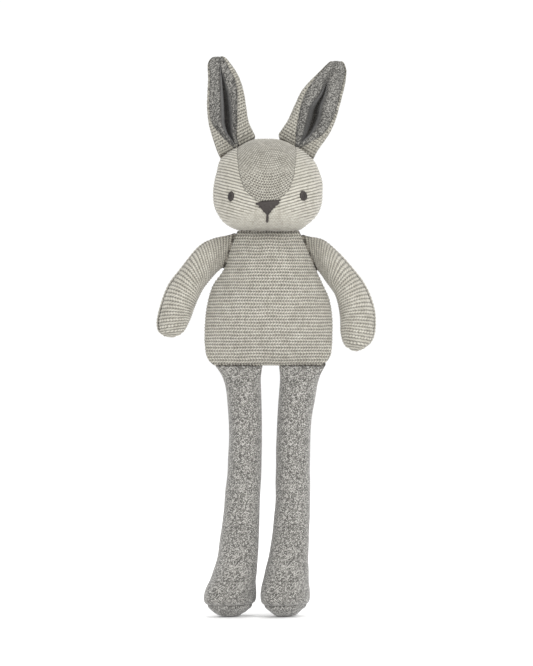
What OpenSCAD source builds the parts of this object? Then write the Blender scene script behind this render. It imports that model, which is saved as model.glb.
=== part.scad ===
// Knitted stuffed rabbit with long legs, upright ears and hanging arms.
// Every panel is a thin skin of its own over a separate filling, and every limb
// hinges on the straight seam that sews it on. Millimetres, +Z up, face towards -Y.

/* [Fabric] */
// Thickness of a knitted panel with its backing
fabric_t = 1.2; // [0.9:0.1:1.4]
// Gap between two panels that are sewn edge to edge
panel_gap = 0.1; // [0.06:0.02:0.14]
// Gap between a panel and the filling behind it
fill_gap = 0.15; // [0.1:0.05:0.25]
// Diameter of the sewing thread along the limb seams
thread_d = 0.8; // [0.6:0.1:1]

/* [Torso] */
// Height of the hem seam above the floor
hem_z = 226; // [180:1:280]
// Height from the hem seam to the neck seam
torso_h = 120.5; // [100:0.5:150]
// Width of the torso at its widest, just above the hem
torso_w = 116; // [110:1:122]
// Depth of the torso from front to back
torso_d = 58; // [48:1:60]

/* [Head] */
// Width of the head
head_w = 98.6; // [90:0.1:104]
// Depth of the head from front to back
head_d = 89; // [80:1:94]
// Height of the head centre above the neck seam
head_rise = 38.5; // [36:0.5:40]
// Height from the head centre to the crown
crown_h = 44; // [42:0.5:48]
// Height of the embroidered eyes
eye_h = 9; // [6:0.5:11]
// Width of the embroidered nose along its top edge
nose_w = 22.5; // [16:0.5:26]

/* [Ears] */
// Length of an ear from its base seam to the tip
ear_l = 88; // [70:1:105]
// Thickness of one ear layer
ear_t = 1.5; // [1:0.1:1.6]
// Depth of the fold along each ear
ear_fold = 8; // [4:0.5:9]

/* [Arms] */
// Length of an arm, from the middle of its shoulder seam
arm_l = 100; // [85:1:110]
// Depth of an arm from front to back
arm_d = 30; // [24:1:30]

/* [Legs and feet] */
// Depth of a leg from front to back
leg_d = 32; // [26:1:34]
// Length of a foot from heel to toe
foot_l = 56; // [48:1:60]
// Turn of the left toes away from straight ahead
left_toe_turn = 33; // [10:1:40]
// Turn of the right toes away from straight ahead
right_toe_turn = 42; // [10:1:45]

/* [Hidden] */
// Distance between a limb's hinge line and the first row of the limb
root_gap = 2;
// Half thickness of a limb or torso edge beside its hinge line
edge_t = 1.6;
// Half thickness of the head and torso edges at the neck
neck_t = 3;
// Gap above and below the middle of the neck seam
neck_gap = 1.2;
// Exponent of the rounded-box shape of the head
head_p = 2.3;
// Slope of the under side of the head, which leaves room to nod
neck_slope = 72;
// Gap between the crown of the head and the line an ear hinges on
ear_lift = 1.2;

neck_z = hem_z + torso_h;
head_c = [1.35, 0, neck_z + head_rise];
width_k = torso_w / 116;
height_k = torso_h / 120.5;
depth_k = torso_d / 58;

knit_colour = [0.70, 0.68, 0.63];
brow_colour = [0.66, 0.64, 0.59];
grey_colour = [0.58, 0.58, 0.56];
lining_colour = [0.52, 0.51, 0.49];
thread_colour = [0.40, 0.38, 0.36];
face_colour = [0.30, 0.27, 0.26];
fill_colour = [0.93, 0.93, 0.90];

// ---- Curves ----

// A row of values part-way along a list of rows, on a smooth curve through them
function along(rows, v) =
    let(n = len(rows) - 1)
    let(i = min(floor(v * n), n - 1))
    let(f = v * n - i)
    let(b = rows[i])
    let(c = rows[i + 1])
    let(a = i > 0 ? rows[i - 1] : 2 * b - c)
    let(d = i < n - 1 ? rows[i + 2] : 2 * c - b)
    b + 0.5 * f * ((c - a) + f * ((2 * a - 5 * b + 4 * c - d) + f * (3 * b - a - 3 * c + d)));

// Sine with its flanks drawn in: k = 0 gives an ellipse, k = 1 a lens with a sharp edge
function lens(phi, k) = sign(sin(phi)) * pow(abs(sin(phi)), 1 + k);

function flatten(rows) = [for (row = rows) for (p = row) p];

// Evenly spaced values from a to b
function steps(a, b, n) = [for (i = [0:n]) a + (b - a) * i / n];

// ---- Solids from rows of points ----

// Two triangles for every cell between row r and row r + 1
function cells(rows, cols, start, closed, flip) =
    [for (r = [0:rows - 2])
        for (c = [0:(closed ? cols - 1 : cols - 2)])
            let(d = (c + 1) % cols)
            let(p = start + r * cols + c)
            let(q = start + r * cols + d)
            let(s = q + cols)
            let(t = p + cols)
            each flip ? [[p, q, s], [p, s, t]] : [[p, s, q], [p, t, s]]];

// Two triangles for every cell of the strip between two lists of point numbers
function strip(a, b, flip) =
    [for (i = [0:len(a) - 2])
        each flip
            ? [[a[i], a[i + 1], b[i + 1]], [a[i], b[i + 1], b[i]]]
            : [[a[i], b[i + 1], a[i + 1]], [a[i], b[i], b[i + 1]]]];

// A curved panel, open on all four sides, between an outer and an inner face
module panel(outer, inner, flip = false) {
    rows = len(outer);
    cols = len(outer[0]);
    n = rows * cols;
    first = [for (c = [0:cols - 1]) c];
    last = [for (c = [0:cols - 1]) (rows - 1) * cols + c];
    left = [for (r = [0:rows - 1]) r * cols];
    right = [for (r = [0:rows - 1]) r * cols + cols - 1];
    faces = concat(
        cells(rows, cols, 0, false, flip),
        cells(rows, cols, n, false, !flip),
        strip(first, [for (i = first) i + n], !flip),
        strip(last, [for (i = last) i + n], flip),
        strip(left, [for (i = left) i + n], flip),
        strip(right, [for (i = right) i + n], !flip)
    );
    polyhedron(points = concat(flatten(outer), flatten(inner)), faces = faces, convexity = 6);
}

// A sleeve that is closed round its rows and open at both ends
module sleeve(outer, inner, flip = false) {
    rows = len(outer);
    cols = len(outer[0]);
    n = rows * cols;
    first = [for (c = [0:cols]) c % cols];
    last = [for (c = [0:cols]) (rows - 1) * cols + c % cols];
    faces = concat(
        cells(rows, cols, 0, true, flip),
        cells(rows, cols, n, true, !flip),
        strip(first, [for (i = first) i + n], !flip),
        strip(last, [for (i = last) i + n], flip)
    );
    polyhedron(points = concat(flatten(outer), flatten(inner)), faces = faces, convexity = 6);
}

// A bowl: closed round its rows, open at the first row, closed by a pole after the last
module bowl(outer, inner, outer_pole, inner_pole, flip = false) {
    rows = len(outer);
    cols = len(outer[0]);
    n = rows * cols;
    first = [for (c = [0:cols]) c % cols];
    last = (rows - 1) * cols;
    faces = concat(
        cells(rows, cols, 0, true, flip),
        cells(rows, cols, n, true, !flip),
        strip(first, [for (i = first) i + n], !flip),
        fan(last, cols, 2 * n, flip),
        fan(last + n, cols, 2 * n + 1, !flip)
    );
    points = concat(flatten(outer), flatten(inner), [outer_pole, inner_pole]);
    polyhedron(points = points, faces = faces, convexity = 6);
}

// Triangles from one row to a single point beyond it
function fan(start, cols, pole, flip) =
    [for (c = [0:cols - 1])
        let(d = (c + 1) % cols)
        flip ? [start + c, start + d, pole] : [start + c, pole, start + d]];

// A closed solid through a stack of rows, with a point at each end
module stack(rows_list, pole_a, pole_b, flip = false) {
    rows = len(rows_list);
    cols = len(rows_list[0]);
    n = rows * cols;
    faces = concat(
        cells(rows, cols, 0, true, flip),
        fan(0, cols, n, !flip),
        fan(n - cols, cols, n + 1, flip)
    );
    points = concat(flatten(rows_list), [pole_a, pole_b]);
    polyhedron(points = points, faces = faces, convexity = 6);
}

// A straight run of sewing thread
module thread(from, to) {
    run = to - from;
    tilt = [0, acos(run.z / norm(run)), atan2(run.y, run.x)];
    translate(from)
        rotate(tilt)
            cylinder(d = thread_d, h = norm(run), $fn = 24);
}

// ---- Sections between two rails ----

// Point of a padded section: row is [first rail x, z, second rail x, z, half depth, lens]
function rail_point(row, phi, inset) =
    let(mid = [(row[0] + row[2]) / 2, (row[1] + row[3]) / 2])
    let(half = [(row[0] - row[2]) / 2, (row[1] - row[3]) / 2])
    let(edge = min(inset * (1 + 0.8 * row[5]), norm(half) * 0.7))
    let(k = 1 - edge / norm(half))
    let(depth = max(row[4] - inset, min(row[4] * 0.3, 0.5)))
    [mid.x + half.x * k * cos(phi), depth * lens(phi, row[5]), mid.y + half.y * k * cos(phi)];

// Rows of points round part of a padded piece
function rail_grid(rows, phis, v0, v1, n, inset) =
    [for (v = steps(v0, v1, n))
        let(row = along(rows, v))
        [for (phi = phis) rail_point(row, phi, inset)]];

// ---- Torso ----

// Height above the hem, right edge, left edge, half depth, lens
torso_rows = [
    [2, -48.5, 52, edge_t, 0.4],
    [6, -53, 57, 5, 0.4],
    [13, -55.5, 59.8, 11, 0.4],
    [25, -55.8, 60.2, 19.5, 0.4],
    [42, -54.8, 60, 26, 0.4],
    [58, -52.5, 57.6, 29, 0.5],
    [72, -49.5, 53, 28, 0.7],
    [87, -36.8, 44.2, 25.5, 1],
    [103, -31.4, 37, 20, 1],
    [114, -27.8, 32.6, 13, 1],
    [119.3, -26, 30.3, neck_t, 1]
];

// Turns a torso row into rails, scaled to the chosen size
function torso_rails() =
    [for (t = torso_rows)
        let(z = hem_z + (t[0] > 119 ? torso_h - neck_gap : t[0] * height_k))
        let(d = t[3] == edge_t || t[3] == neck_t ? t[3] : t[3] * depth_k)
        [t[2] * width_k, z, t[1] * width_k, z, d, t[4]]];

torso_n = 22;
torso_cols = 12;

module torso_half(side) {
    // The front runs round the side that faces -Y, the back round the other
    turn = side < 0 ? 180 : 0;
    cut = 0.12;
    phis = steps(turn + cut, turn + 180 - cut, torso_cols);
    outer = rail_grid(torso_rails(), phis, 0, 1, torso_n, 0);
    inner = rail_grid(torso_rails(), phis, 0.02, 0.985, torso_n, fabric_t);
    translate([0, side * panel_gap / 2, 0])
        panel(outer, inner);
}

module torso_front() {
    color(knit_colour)
        torso_half(-1);
}

module torso_back() {
    color(knit_colour)
        torso_half(1);
}

module torso_filling() {
    phis = steps(0, 360 - 360 / 24, 23);
    inset = fabric_t + fill_gap + 0.25;
    rows = rail_grid(torso_rails(), phis, 0.08, 0.95, 16, inset);
    a = along(torso_rails(), 0.06);
    b = along(torso_rails(), 0.96);
    color(fill_colour)
        stack(rows, [(a[0] + a[2]) / 2, 0, a[1]], [(b[0] + b[2]) / 2, 0, b[1]]);
}

// ---- Head ----

// Where the ears are sewn on: the two ends of each base seam, inner end first
ear_seam_l = [[12, neck_z + 82.4], [42.3, neck_z + 65.2]];
ear_seam_r = [[-10.8, neck_z + 82.8], [-41.8, neck_z + 66.6]];

// Distance from the head centre to a flat that runs just under an ear seam
function seam_normal(seam) =
    let(run = seam[1] - seam[0])
    let(n = [-run.y, run.x] / norm(run))
    n.y > 0 ? n : -n;
function seam_reach(seam) = (seam[0] - [head_c.x, head_c.z]) * seam_normal(seam) - ear_lift;

function flat_limit(dir, seam) =
    let(n = seam_normal(seam))
    let(k = dir.x * n.x + dir.z * n.y)
    k > 0.05 ? seam_reach(seam) / k : 1000;

// How far the head reaches from its centre in one direction
function head_reach(dir) =
    let(a = abs(dir.x) / (head_w / 2))
    let(b = abs(dir.y) / (head_d / 2))
    let(c = abs(dir.z) / crown_h)
    let(full = pow(pow(a, head_p) + pow(b, head_p) + pow(c, head_p), -1 / head_p))
    let(tilt = abs(dir.y) / tan(neck_slope) - dir.z)
    let(under = tilt > 0.01 ? (head_rise - neck_gap + neck_t / tan(neck_slope)) / tilt : 1000)
    let(base = dir.z < -0.01 ? (head_rise - neck_gap) / -dir.z : 1000)
    min(full, under, base, flat_limit(dir, ear_seam_l), flat_limit(dir, ear_seam_r));

// Point of the head: theta runs from the face over the crown to the back, psi out to a side
function head_point(theta, psi, inset) =
    let(dir = [sin(psi), -cos(psi) * cos(theta), cos(psi) * sin(theta)])
    head_c + dir * (head_reach(dir) - inset);

// Sideways angle of the seam between the brow panel and a side panel
brow_seam = [
    [-84, 0.1], [-17, 0.1], [-15, 10], [-3, 24], [17, 31], [48, 35],
    [90, 36], [135, 34], [180, 28], [225, 23], [262, 18], [274, 4], [276, 0.1]
];
function brow_edge(theta) = lookup(theta, brow_seam);

module head_gusset() {
    thetas = steps(-14, 266, 28);
    cut = panel_gap * 0.6;
    outer = [for (t = thetas)
        let(e = brow_edge(t) - cut)
        [for (s = steps(-1, 1, 8)) head_point(t, s * e, 0)]];
    inner = [for (t = thetas)
        let(e = brow_edge(t) - cut)
        [for (s = steps(-1, 1, 8)) head_point(t, s * e, fabric_t)]];
    color(brow_colour)
        panel(outer, inner);
}

module head_side(side) {
    thetas = steps(-84, 266, 35);
    cut = panel_gap * 0.6;
    function ring(w, inset) =
        [for (t = thetas)
            let(e = brow_edge(t) + cut)
            head_point(t, side * (e + (90 - e) * w), inset)];
    ws = [0, 0.12, 0.26, 0.4, 0.54, 0.67, 0.79, 0.9];
    outer = [for (w = ws) ring(w, 0)];
    inner = [for (w = ws) ring(w, fabric_t)];
    color(knit_colour)
        bowl(outer, inner, head_point(0, side * 90, 0), head_point(0, side * 90, fabric_t), side > 0);
}

module head_side_left() {
    head_side(1);
}

module head_side_right() {
    head_side(-1);
}

module head_filling() {
    inset = fabric_t + fill_gap + 1.6;
    rows = [for (psi = steps(-80, 80, 14)) [for (t = steps(0, 350, 35)) head_point(t, psi, inset)]];
    color(fill_colour)
        stack(rows, head_point(0, -90, inset), head_point(0, 90, inset), true);
}

// ---- Face ----

// Point on the front of the head at a sideways and an upward distance from its centre
function face_y(x, z, lift) =
    let(a = abs(x) / (head_w / 2))
    let(c = abs(z) / crown_h)
    -head_d / 2 * pow(max(1 - pow(a, head_p) - pow(c, head_p), 0.01), 1 / head_p) - lift;

// Outward direction of the head's surface at a point of the face
function face_turn(x, z) =
    let(d = 0.5)
    let(gx = (face_y(x + d, z, 0) - face_y(x - d, z, 0)) / (2 * d))
    let(gz = (face_y(x, z + d, 0) - face_y(x, z - d, 0)) / (2 * d))
    [atan2(-gz, 1), atan2(gx, 1)];

// An embroidered oval, flat at the back and domed at the front
module eye(x, z) {
    turn = face_turn(x, z);
    rows = [for (w = [1, 0.8, 0.45])
        [for (t = steps(0, 345, 23))
            [cos(t) * eye_h * 0.42 * w, -1.1 * sqrt(1 - w * w) - 0.3, sin(t) * eye_h / 2 * w]]];
    back = [for (t = steps(0, 345, 23)) [cos(t) * eye_h * 0.42, 0, sin(t) * eye_h / 2]];
    color(face_colour)
        translate(head_c + [x, face_y(x, z, 0), z])
            rotate([turn[0], 0, turn[1]])
                translate([0, -0.25, 0])
                    stack(concat([back], rows), [0, 0, 0], [0, -1.4, 0]);
}

module eye_left() {
    eye(32.4, -6.3);
}

module eye_right() {
    eye(-32.8, -6.6);
}

// Rows of a triangle that points down, lying over the front of the head
module nose() {
    function nose_row(w, lift) =
        let(z = -11.6 - 12.2 * w)
        [for (s = steps(-1, 1, 8))
            let(x = 0.5 + s * nose_w / 2 * (1 - 0.96 * w) + (w - 0.4) * 0.9)
            let(zz = z + s * 1.1 * (1 - w))
            head_c + [x, face_y(x, zz, lift), zz]];
    ws = steps(0, 1, 6);
    outer = [for (w = ws) nose_row(w, 1.5)];
    inner = [for (w = ws) nose_row(w, 0.25)];
    color(face_colour)
        panel(outer, inner, true);
}

// Short upright stitch from the nose to the mouth
module mouth_stitch() {
    rows = [for (w = steps(0, 1, 5))
        let(z = -25 - 5.5 * w)
        let(x = 0.2 - 0.5 * w)
        [for (t = steps(0, 330, 11))
            head_c + [x + cos(t) * 0.8, face_y(x, z, 1.15) - sin(t) * 0.8, z]]];
    top = head_c + [0.2, face_y(0.2, -25, 1.15), -24.7];
    foot = head_c + [-0.3, face_y(-0.3, -30.5, 1.15), -30.8];
    color(face_colour)
        stack(rows, top, foot);
}

// ---- Ears ----

// Share of the length, inner rail across and up, outer rail across and up, share of the fold.
// Across is measured from the middle of the base seam, up from the same point.
ear_rows_l = [
    [-15.2, 8.6, 15.2, -8.6, 0],
    [-12.8, 17.1, 21, 3, 0.28],
    [-8, 25, 28.5, 14, 0.6],
    [-2.5, 36, 34.5, 27, 0.95],
    [3.5, 49.5, 38.3, 41, 1],
    [11, 58.5, 41.3, 55, 0.8],
    [20.5, 68.5, 43.5, 65.5, 0.5],
    [28, 75.8, 43.3, 73.5, 0.2],
    [35, 78.2, 39, 77.9, 0]
];
ear_rows_r = [
    [15.5, 8.1, -15.5, -8.1, 0],
    [13, 16, -20.5, 5, 0.28],
    [9.5, 23, -23.7, 16, 0.6],
    [7.6, 36, -25.9, 30, 0.95],
    [5.6, 48.6, -25.9, 44, 1],
    [2.9, 59.4, -25.9, 56, 0.8],
    [-3, 70.2, -25.5, 68, 0.5],
    [-8, 77.5, -24.5, 75.5, 0.2],
    [-14.5, 81.8, -19.5, 81.6, 0]
];

// Moves a base row off the hinge line, and scales the rest to the chosen length
function ear_rails(rows, seam) =
    let(mid = (seam[0] + seam[1]) / 2)
    let(n = seam_normal(seam))
    let(k = ear_l / 88)
    [for (i = [0:len(rows) - 1])
        let(r = rows[i])
        let(s = i == 0 ? 1 : k)
        let(lift = i == 0 ? root_gap : 0)
        [mid.x + r[0] * s + n.x * lift, mid.y + r[1] * s + n.y * lift,
         mid.x + r[2] * s + n.x * lift, mid.y + r[3] * s + n.y * lift, r[4] * ear_fold]];

// One layer of an ear between two distances behind its middle surface
module ear_layer(rows, seam, near, far, flip) {
    rails = ear_rails(rows, seam);
    function grid(off) =
        [for (v = steps(0, 1, 20))
            let(r = along(rails, v))
            [for (u = steps(0, 1, 10))
                let(w = 2 * u - 1)
                [r[0] + (r[2] - r[0]) * u, off - max(r[4], 0) * w * w, r[1] + (r[3] - r[1]) * u]]];
    panel(grid(far), grid(near), flip);
}

module ear_left_outer() {
    color(knit_colour)
        ear_layer(ear_rows_l, ear_seam_l, 0.1, 0.1 + ear_t, true);
}

module ear_left_inner() {
    color(lining_colour)
        ear_layer(ear_rows_l, ear_seam_l, -0.1, -0.1 - ear_t, false);
}

module ear_right_outer() {
    color(knit_colour)
        ear_layer(ear_rows_r, ear_seam_r, 0.1, 0.1 + ear_t, false);
}

module ear_right_inner() {
    color(lining_colour)
        ear_layer(ear_rows_r, ear_seam_r, -0.1, -0.1 - ear_t, true);
}

module ear_thread(seam) {
    color(thread_colour)
        thread([seam[1].x, 0, seam[1].y], [seam[0].x, 0, seam[0].y]);
}

module ear_left_stitch() {
    ear_thread(ear_seam_l);
}

module ear_right_stitch() {
    ear_thread(ear_seam_r);
}

// ---- Arms ----

// Shoulder seams: upper end, then lower end
shoulder_l = [[33.3, neck_z - 3.1], [46.3, neck_z - 35.4]];
shoulder_r = [[-28.3, neck_z - 1.8], [-39, neck_z - 33.3]];

// Outer rail across and up, inner rail across and up, half depth, lens.
// Measured from the middle of the shoulder seam.
arm_rows_l = [
    [-6.5, 16.1, 6.5, -16.1, edge_t, 1],
    [10, 12.5, 13, -25, 10.5, 0.6],
    [23, 2.5, 18.7, -32.5, 14, 0.2],
    [37.5, -13, 22.5, -38.5, 15, 0],
    [50, -30, 25.5, -48.5, 15, 0],
    [57.8, -50, 26.8, -59.5, 14.5, 0],
    [59, -68, 27.2, -72, 13.5, 0],
    [55.6, -80, 30.4, -82.8, 11, 0],
    [47.5, -87, 36, -87.3, 5, 0],
    [41.5, -89, 40.3, -89, 0.8, 0]
];
arm_rows_r = [
    [5.35, 15.75, -5.35, -15.75, edge_t, 1],
    [-14, 11.2, -14, -24, 10.5, 0.6],
    [-28.5, 2.3, -22.3, -34, 14, 0.2],
    [-43.5, -16, -26.8, -42.5, 15, 0],
    [-55.9, -34, -30.5, -51.3, 15, 0],
    [-63.3, -56.5, -34.7, -63, 14.5, 0],
    [-64, -70.5, -39.8, -72.5, 11, 0],
    [-58.5, -76.5, -47.5, -77.5, 5, 0],
    [-54, -78, -52.8, -78, 0.8, 0]
];

function arm_rails(rows, seam) =
    let(mid = (seam[0] + seam[1]) / 2)
    let(run = seam[1] - seam[0])
    let(out = [-run.y, run.x] / norm(run))
    let(dir = out.x * mid.x > 0 ? out : -out)
    let(k = arm_l / 100)
    [for (i = [0:len(rows) - 1])
        let(r = rows[i])
        let(s = i == 0 ? 1 : k)
        let(lift = i == 0 ? root_gap : 0)
        let(d = i == 0 || r[4] < 1 ? r[4] : r[4] * arm_d / 30)
        [mid.x + r[0] * s + dir.x * lift, mid.y + r[1] * s + dir.y * lift,
         mid.x + r[2] * s + dir.x * lift, mid.y + r[3] * s + dir.y * lift, d, r[5]]];

// Angle by which the long seams of an arm are turned to the front
arm_seam_turn = 24;

// Part of an arm's skin between two angles round it
module arm_skin(rails, from, to, flip) {
    cut = 0.3;
    // The seam starts at the edge beside the shoulder and turns forward along the arm
    function grid(v0, v1, inset) =
        [for (v = steps(v0, v1, 20))
            let(row = along(rails, v))
            let(turn = -arm_seam_turn * min(max((v - 0.02) / 0.25, 0), 1))
            [for (phi = steps(from + cut + turn, to - cut + turn, 10)) rail_point(row, phi, inset)]];
    panel(grid(0, 1, 0), grid(0.012, 0.97, fabric_t), flip);
}

module arm_filling(rails, flip) {
    inset = fabric_t + fill_gap + 0.2;
    rows = rail_grid(rails, steps(0, 340, 17), 0.05, 0.9, 15, inset);
    a = along(rails, 0.04);
    b = along(rails, 0.92);
    pole_a = [(a[0] + a[2]) / 2, 0, (a[1] + a[3]) / 2];
    pole_b = [(b[0] + b[2]) / 2, 0, (b[1] + b[3]) / 2];
    color(fill_colour)
        stack(rows, pole_a, pole_b, flip);
}

module arm_left_front() {
    color(knit_colour)
        arm_skin(arm_rails(arm_rows_l, shoulder_l), 180, 360, true);
}

module arm_left_back() {
    color(knit_colour)
        arm_skin(arm_rails(arm_rows_l, shoulder_l), 0, 180, true);
}

module arm_left_filling() {
    arm_filling(arm_rails(arm_rows_l, shoulder_l), true);
}

module arm_right_front() {
    color(knit_colour)
        arm_skin(arm_rails(arm_rows_r, shoulder_r), 180, 360, false);
}

module arm_right_back() {
    color(knit_colour)
        arm_skin(arm_rails(arm_rows_r, shoulder_r), 0, 180, false);
}

module arm_right_filling() {
    arm_filling(arm_rails(arm_rows_r, shoulder_r), false);
}

module shoulder_thread(seam) {
    color(thread_colour)
        thread([seam[1].x, 0, seam[1].y], [seam[0].x, 0, seam[0].y]);
}

module shoulder_left_stitch() {
    shoulder_thread(shoulder_l);
}

module shoulder_right_stitch() {
    shoulder_thread(shoulder_r);
}

// ---- Legs ----

// Height, centre across, centre towards the back, half width, half depth, share of turn, lens
leg_rows_l = [
    [hem_z - root_gap, 33, 0, 20.5, edge_t, 0, 0.8],
    [hem_z - 12, 30.6, 0, 18, 9.2, 0, 0.5],
    [hem_z - 26, 28.4, 0, 16.6, 14.5, 0, 0.1],
    [hem_z - 56, 25.2, 0, 15.3, 15.5, 0, 0],
    [hem_z - 88, 24.3, 0, 15.3, 16, 0, 0],
    [100, 23.9, 0, 15.8, 16.3, 0, 0],
    [60, 21.2, 0, 17.5, 17.5, 0.2, 0],
    [40, 18.7, -1, 19.5, 21, 0.75, 0],
    [25, 17.6, -3, 19.5, 26, 1, 0],
    [16, 17.6, -4, 19, 28, 1, 0],
    [10.5, 17.6, -4, 17.6, 26.5, 1, 0]
];
leg_rows_r = [
    [hem_z - root_gap, -24.5, 0, 21.5, edge_t, 0, 0.8],
    [hem_z - 12, -21.8, 0, 17.6, 9.2, 0, 0.5],
    [hem_z - 26, -19.8, 0, 15.8, 14.5, 0, 0.1],
    [hem_z - 56, -18.5, 0, 15, 15.5, 0, 0],
    [hem_z - 88, -18.9, 0, 15.3, 16, 0, 0],
    [100, -21.6, 0, 16.2, 16.5, 0, 0],
    [60, -24.6, 0, 18, 17.5, 0.2, 0],
    [40, -28, -1, 19.5, 21, 0.6, 0],
    [25, -31.5, -3, 19.5, 26, 0.95, 0],
    [16, -32.4, -4, 18.5, 28, 1, 0],
    [10.5, -32.2, -4, 17.2, 26.5, 1, 0]
];

// Sizes a leg row: the depth of the leg above the ankle, the length of the foot below it
function leg_sized(rows) =
    [for (i = [0:len(rows) - 1])
        let(r = rows[i])
        let(k = i == 0 ? 1 : r[0] > 50 ? leg_d / 32 : foot_l / 56)
        [r[0], r[1], r[2], r[3], r[4] * k, r[5], r[6]]];

function leg_point(r, phi, inset, toe) =
    let(turn = -toe * r[5])
    let(edge = min(inset * (1 + 0.6 * r[6]), r[3] * 0.7))
    let(x = (r[3] - edge) * cos(phi))
    let(y = max(r[4] - inset, min(r[4] * 0.3, 0.5)) * lens(phi, r[6]))
    [r[1] + x * cos(turn) - y * sin(turn), r[2] + x * sin(turn) + y * cos(turn), r[0]];

function leg_grid(rows, toe, v0, v1, n, cols, inset) =
    [for (v = steps(v0, v1, n))
        let(r = along(rows, v))
        [for (phi = steps(0, 360 - 360 / cols, cols - 1)) leg_point(r, phi, inset, toe)]];

module leg_tube(rows, toe) {
    sized = leg_sized(rows);
    outer = leg_grid(sized, toe, 0, 1, 20, 24, 0);
    inner = leg_grid(sized, toe, 0.008, 1, 20, 24, fabric_t);
    color(grey_colour)
        sleeve(outer, inner, true);
}

// Heights and sizes of the rows of the padded sole, from its seam down to the floor
sole_rows = [[10.4, 0.99], [7.6, 0.91], [4.6, 0.8], [2, 0.66], [0, 0.52]];

module sole(rows, toe) {
    last = leg_sized(rows)[len(rows) - 1];
    function ring(z, k, inset) =
        let(r = [z, last[1], last[2], last[3] * k, last[4] * k, 1, 0])
        [for (phi = steps(0, 345, 23)) leg_point(r, phi, inset, toe)];
    outer = [for (s = sole_rows) ring(s[0], s[1], 0)];
    inner = [for (s = sole_rows) ring(s[0] == 0 ? fabric_t : max(s[0], fabric_t + 0.3), s[1], fabric_t)];
    color(grey_colour)
        bowl(outer, inner, [last[1], last[2], 0], [last[1], last[2], fabric_t], true);
}

module leg_filling(rows, toe) {
    sized = leg_sized(rows);
    inset = fabric_t + fill_gap + 0.25;
    body = leg_grid(sized, toe, 0.03, 1, 18, 24, inset);
    last = sized[len(rows) - 1];
    foot = [for (s = [[7.6, 0.88], [4.8, 0.77], [2.6, 0.62]])
        let(r = [s[0], last[1], last[2], last[3] * s[1], last[4] * s[1], 1, 0])
        [for (phi = steps(0, 345, 23)) leg_point(r, phi, inset, toe)]];
    top = along(sized, 0.02);
    color(fill_colour)
        stack(concat(body, foot), [top[1], 0, top[0]], [last[1], last[2], 2.2], true);
}

module leg_left_tube() {
    leg_tube(leg_rows_l, left_toe_turn);
}

module leg_left_sole() {
    sole(leg_rows_l, left_toe_turn);
}

module leg_left_filling() {
    leg_filling(leg_rows_l, left_toe_turn);
}

module leg_right_tube() {
    leg_tube(leg_rows_r, right_toe_turn);
}

module leg_right_sole() {
    sole(leg_rows_r, right_toe_turn);
}

module leg_right_filling() {
    leg_filling(leg_rows_r, right_toe_turn);
}

module hip_thread(row) {
    color(thread_colour)
        thread([row[1] - row[3], 0, hem_z], [row[1] + row[3], 0, hem_z]);
}

module hip_left_stitch() {
    hip_thread(leg_rows_l[0]);
}

module hip_right_stitch() {
    hip_thread(leg_rows_r[0]);
}

module neck_stitch() {
    color(thread_colour)
        thread([-25 * width_k, 0, neck_z], [29.5 * width_k, 0, neck_z]);
}

head_side_left();
head_side_right();
head_gusset();
head_filling();
eye_left();
eye_right();
nose();
mouth_stitch();
ear_left_outer();
ear_left_inner();
ear_left_stitch();
ear_right_outer();
ear_right_inner();
ear_right_stitch();
torso_front();
torso_back();
torso_filling();
neck_stitch();
arm_left_front();
arm_left_back();
arm_left_filling();
shoulder_left_stitch();
arm_right_front();
arm_right_back();
arm_right_filling();
shoulder_right_stitch();
leg_left_tube();
leg_left_sole();
leg_left_filling();
hip_left_stitch();
leg_right_tube();
leg_right_sole();
leg_right_filling();
hip_right_stitch();
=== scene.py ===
"""Looks of a knitted, stuffed rabbit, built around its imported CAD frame. Lengths are in mm."""

import math

import bpy
import numpy as np
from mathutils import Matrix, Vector


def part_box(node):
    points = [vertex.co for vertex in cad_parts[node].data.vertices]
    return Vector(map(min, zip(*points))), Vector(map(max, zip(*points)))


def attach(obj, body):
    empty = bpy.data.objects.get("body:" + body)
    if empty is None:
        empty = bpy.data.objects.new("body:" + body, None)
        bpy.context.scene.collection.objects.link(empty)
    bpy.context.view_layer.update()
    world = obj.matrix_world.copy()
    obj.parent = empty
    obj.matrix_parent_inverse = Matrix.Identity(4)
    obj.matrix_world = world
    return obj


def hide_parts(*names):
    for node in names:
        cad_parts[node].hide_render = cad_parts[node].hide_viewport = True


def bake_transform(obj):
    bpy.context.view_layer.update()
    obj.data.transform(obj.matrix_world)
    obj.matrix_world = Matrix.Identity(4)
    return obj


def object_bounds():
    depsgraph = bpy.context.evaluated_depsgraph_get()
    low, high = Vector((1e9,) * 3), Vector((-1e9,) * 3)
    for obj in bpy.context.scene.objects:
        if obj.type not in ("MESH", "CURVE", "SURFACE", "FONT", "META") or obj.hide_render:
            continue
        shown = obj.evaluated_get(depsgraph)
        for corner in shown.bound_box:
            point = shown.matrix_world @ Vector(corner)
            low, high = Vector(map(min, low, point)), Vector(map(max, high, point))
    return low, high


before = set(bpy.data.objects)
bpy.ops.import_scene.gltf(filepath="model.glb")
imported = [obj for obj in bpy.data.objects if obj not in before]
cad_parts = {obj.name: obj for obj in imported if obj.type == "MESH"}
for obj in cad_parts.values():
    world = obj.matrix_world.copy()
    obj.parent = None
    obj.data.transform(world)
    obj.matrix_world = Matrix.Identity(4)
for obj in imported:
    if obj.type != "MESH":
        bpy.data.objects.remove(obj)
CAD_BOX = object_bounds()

MM = 0.001
TAU = 2 * math.pi
RNG = np.random.default_rng(20)


# ---- Curves and grids ----

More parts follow.
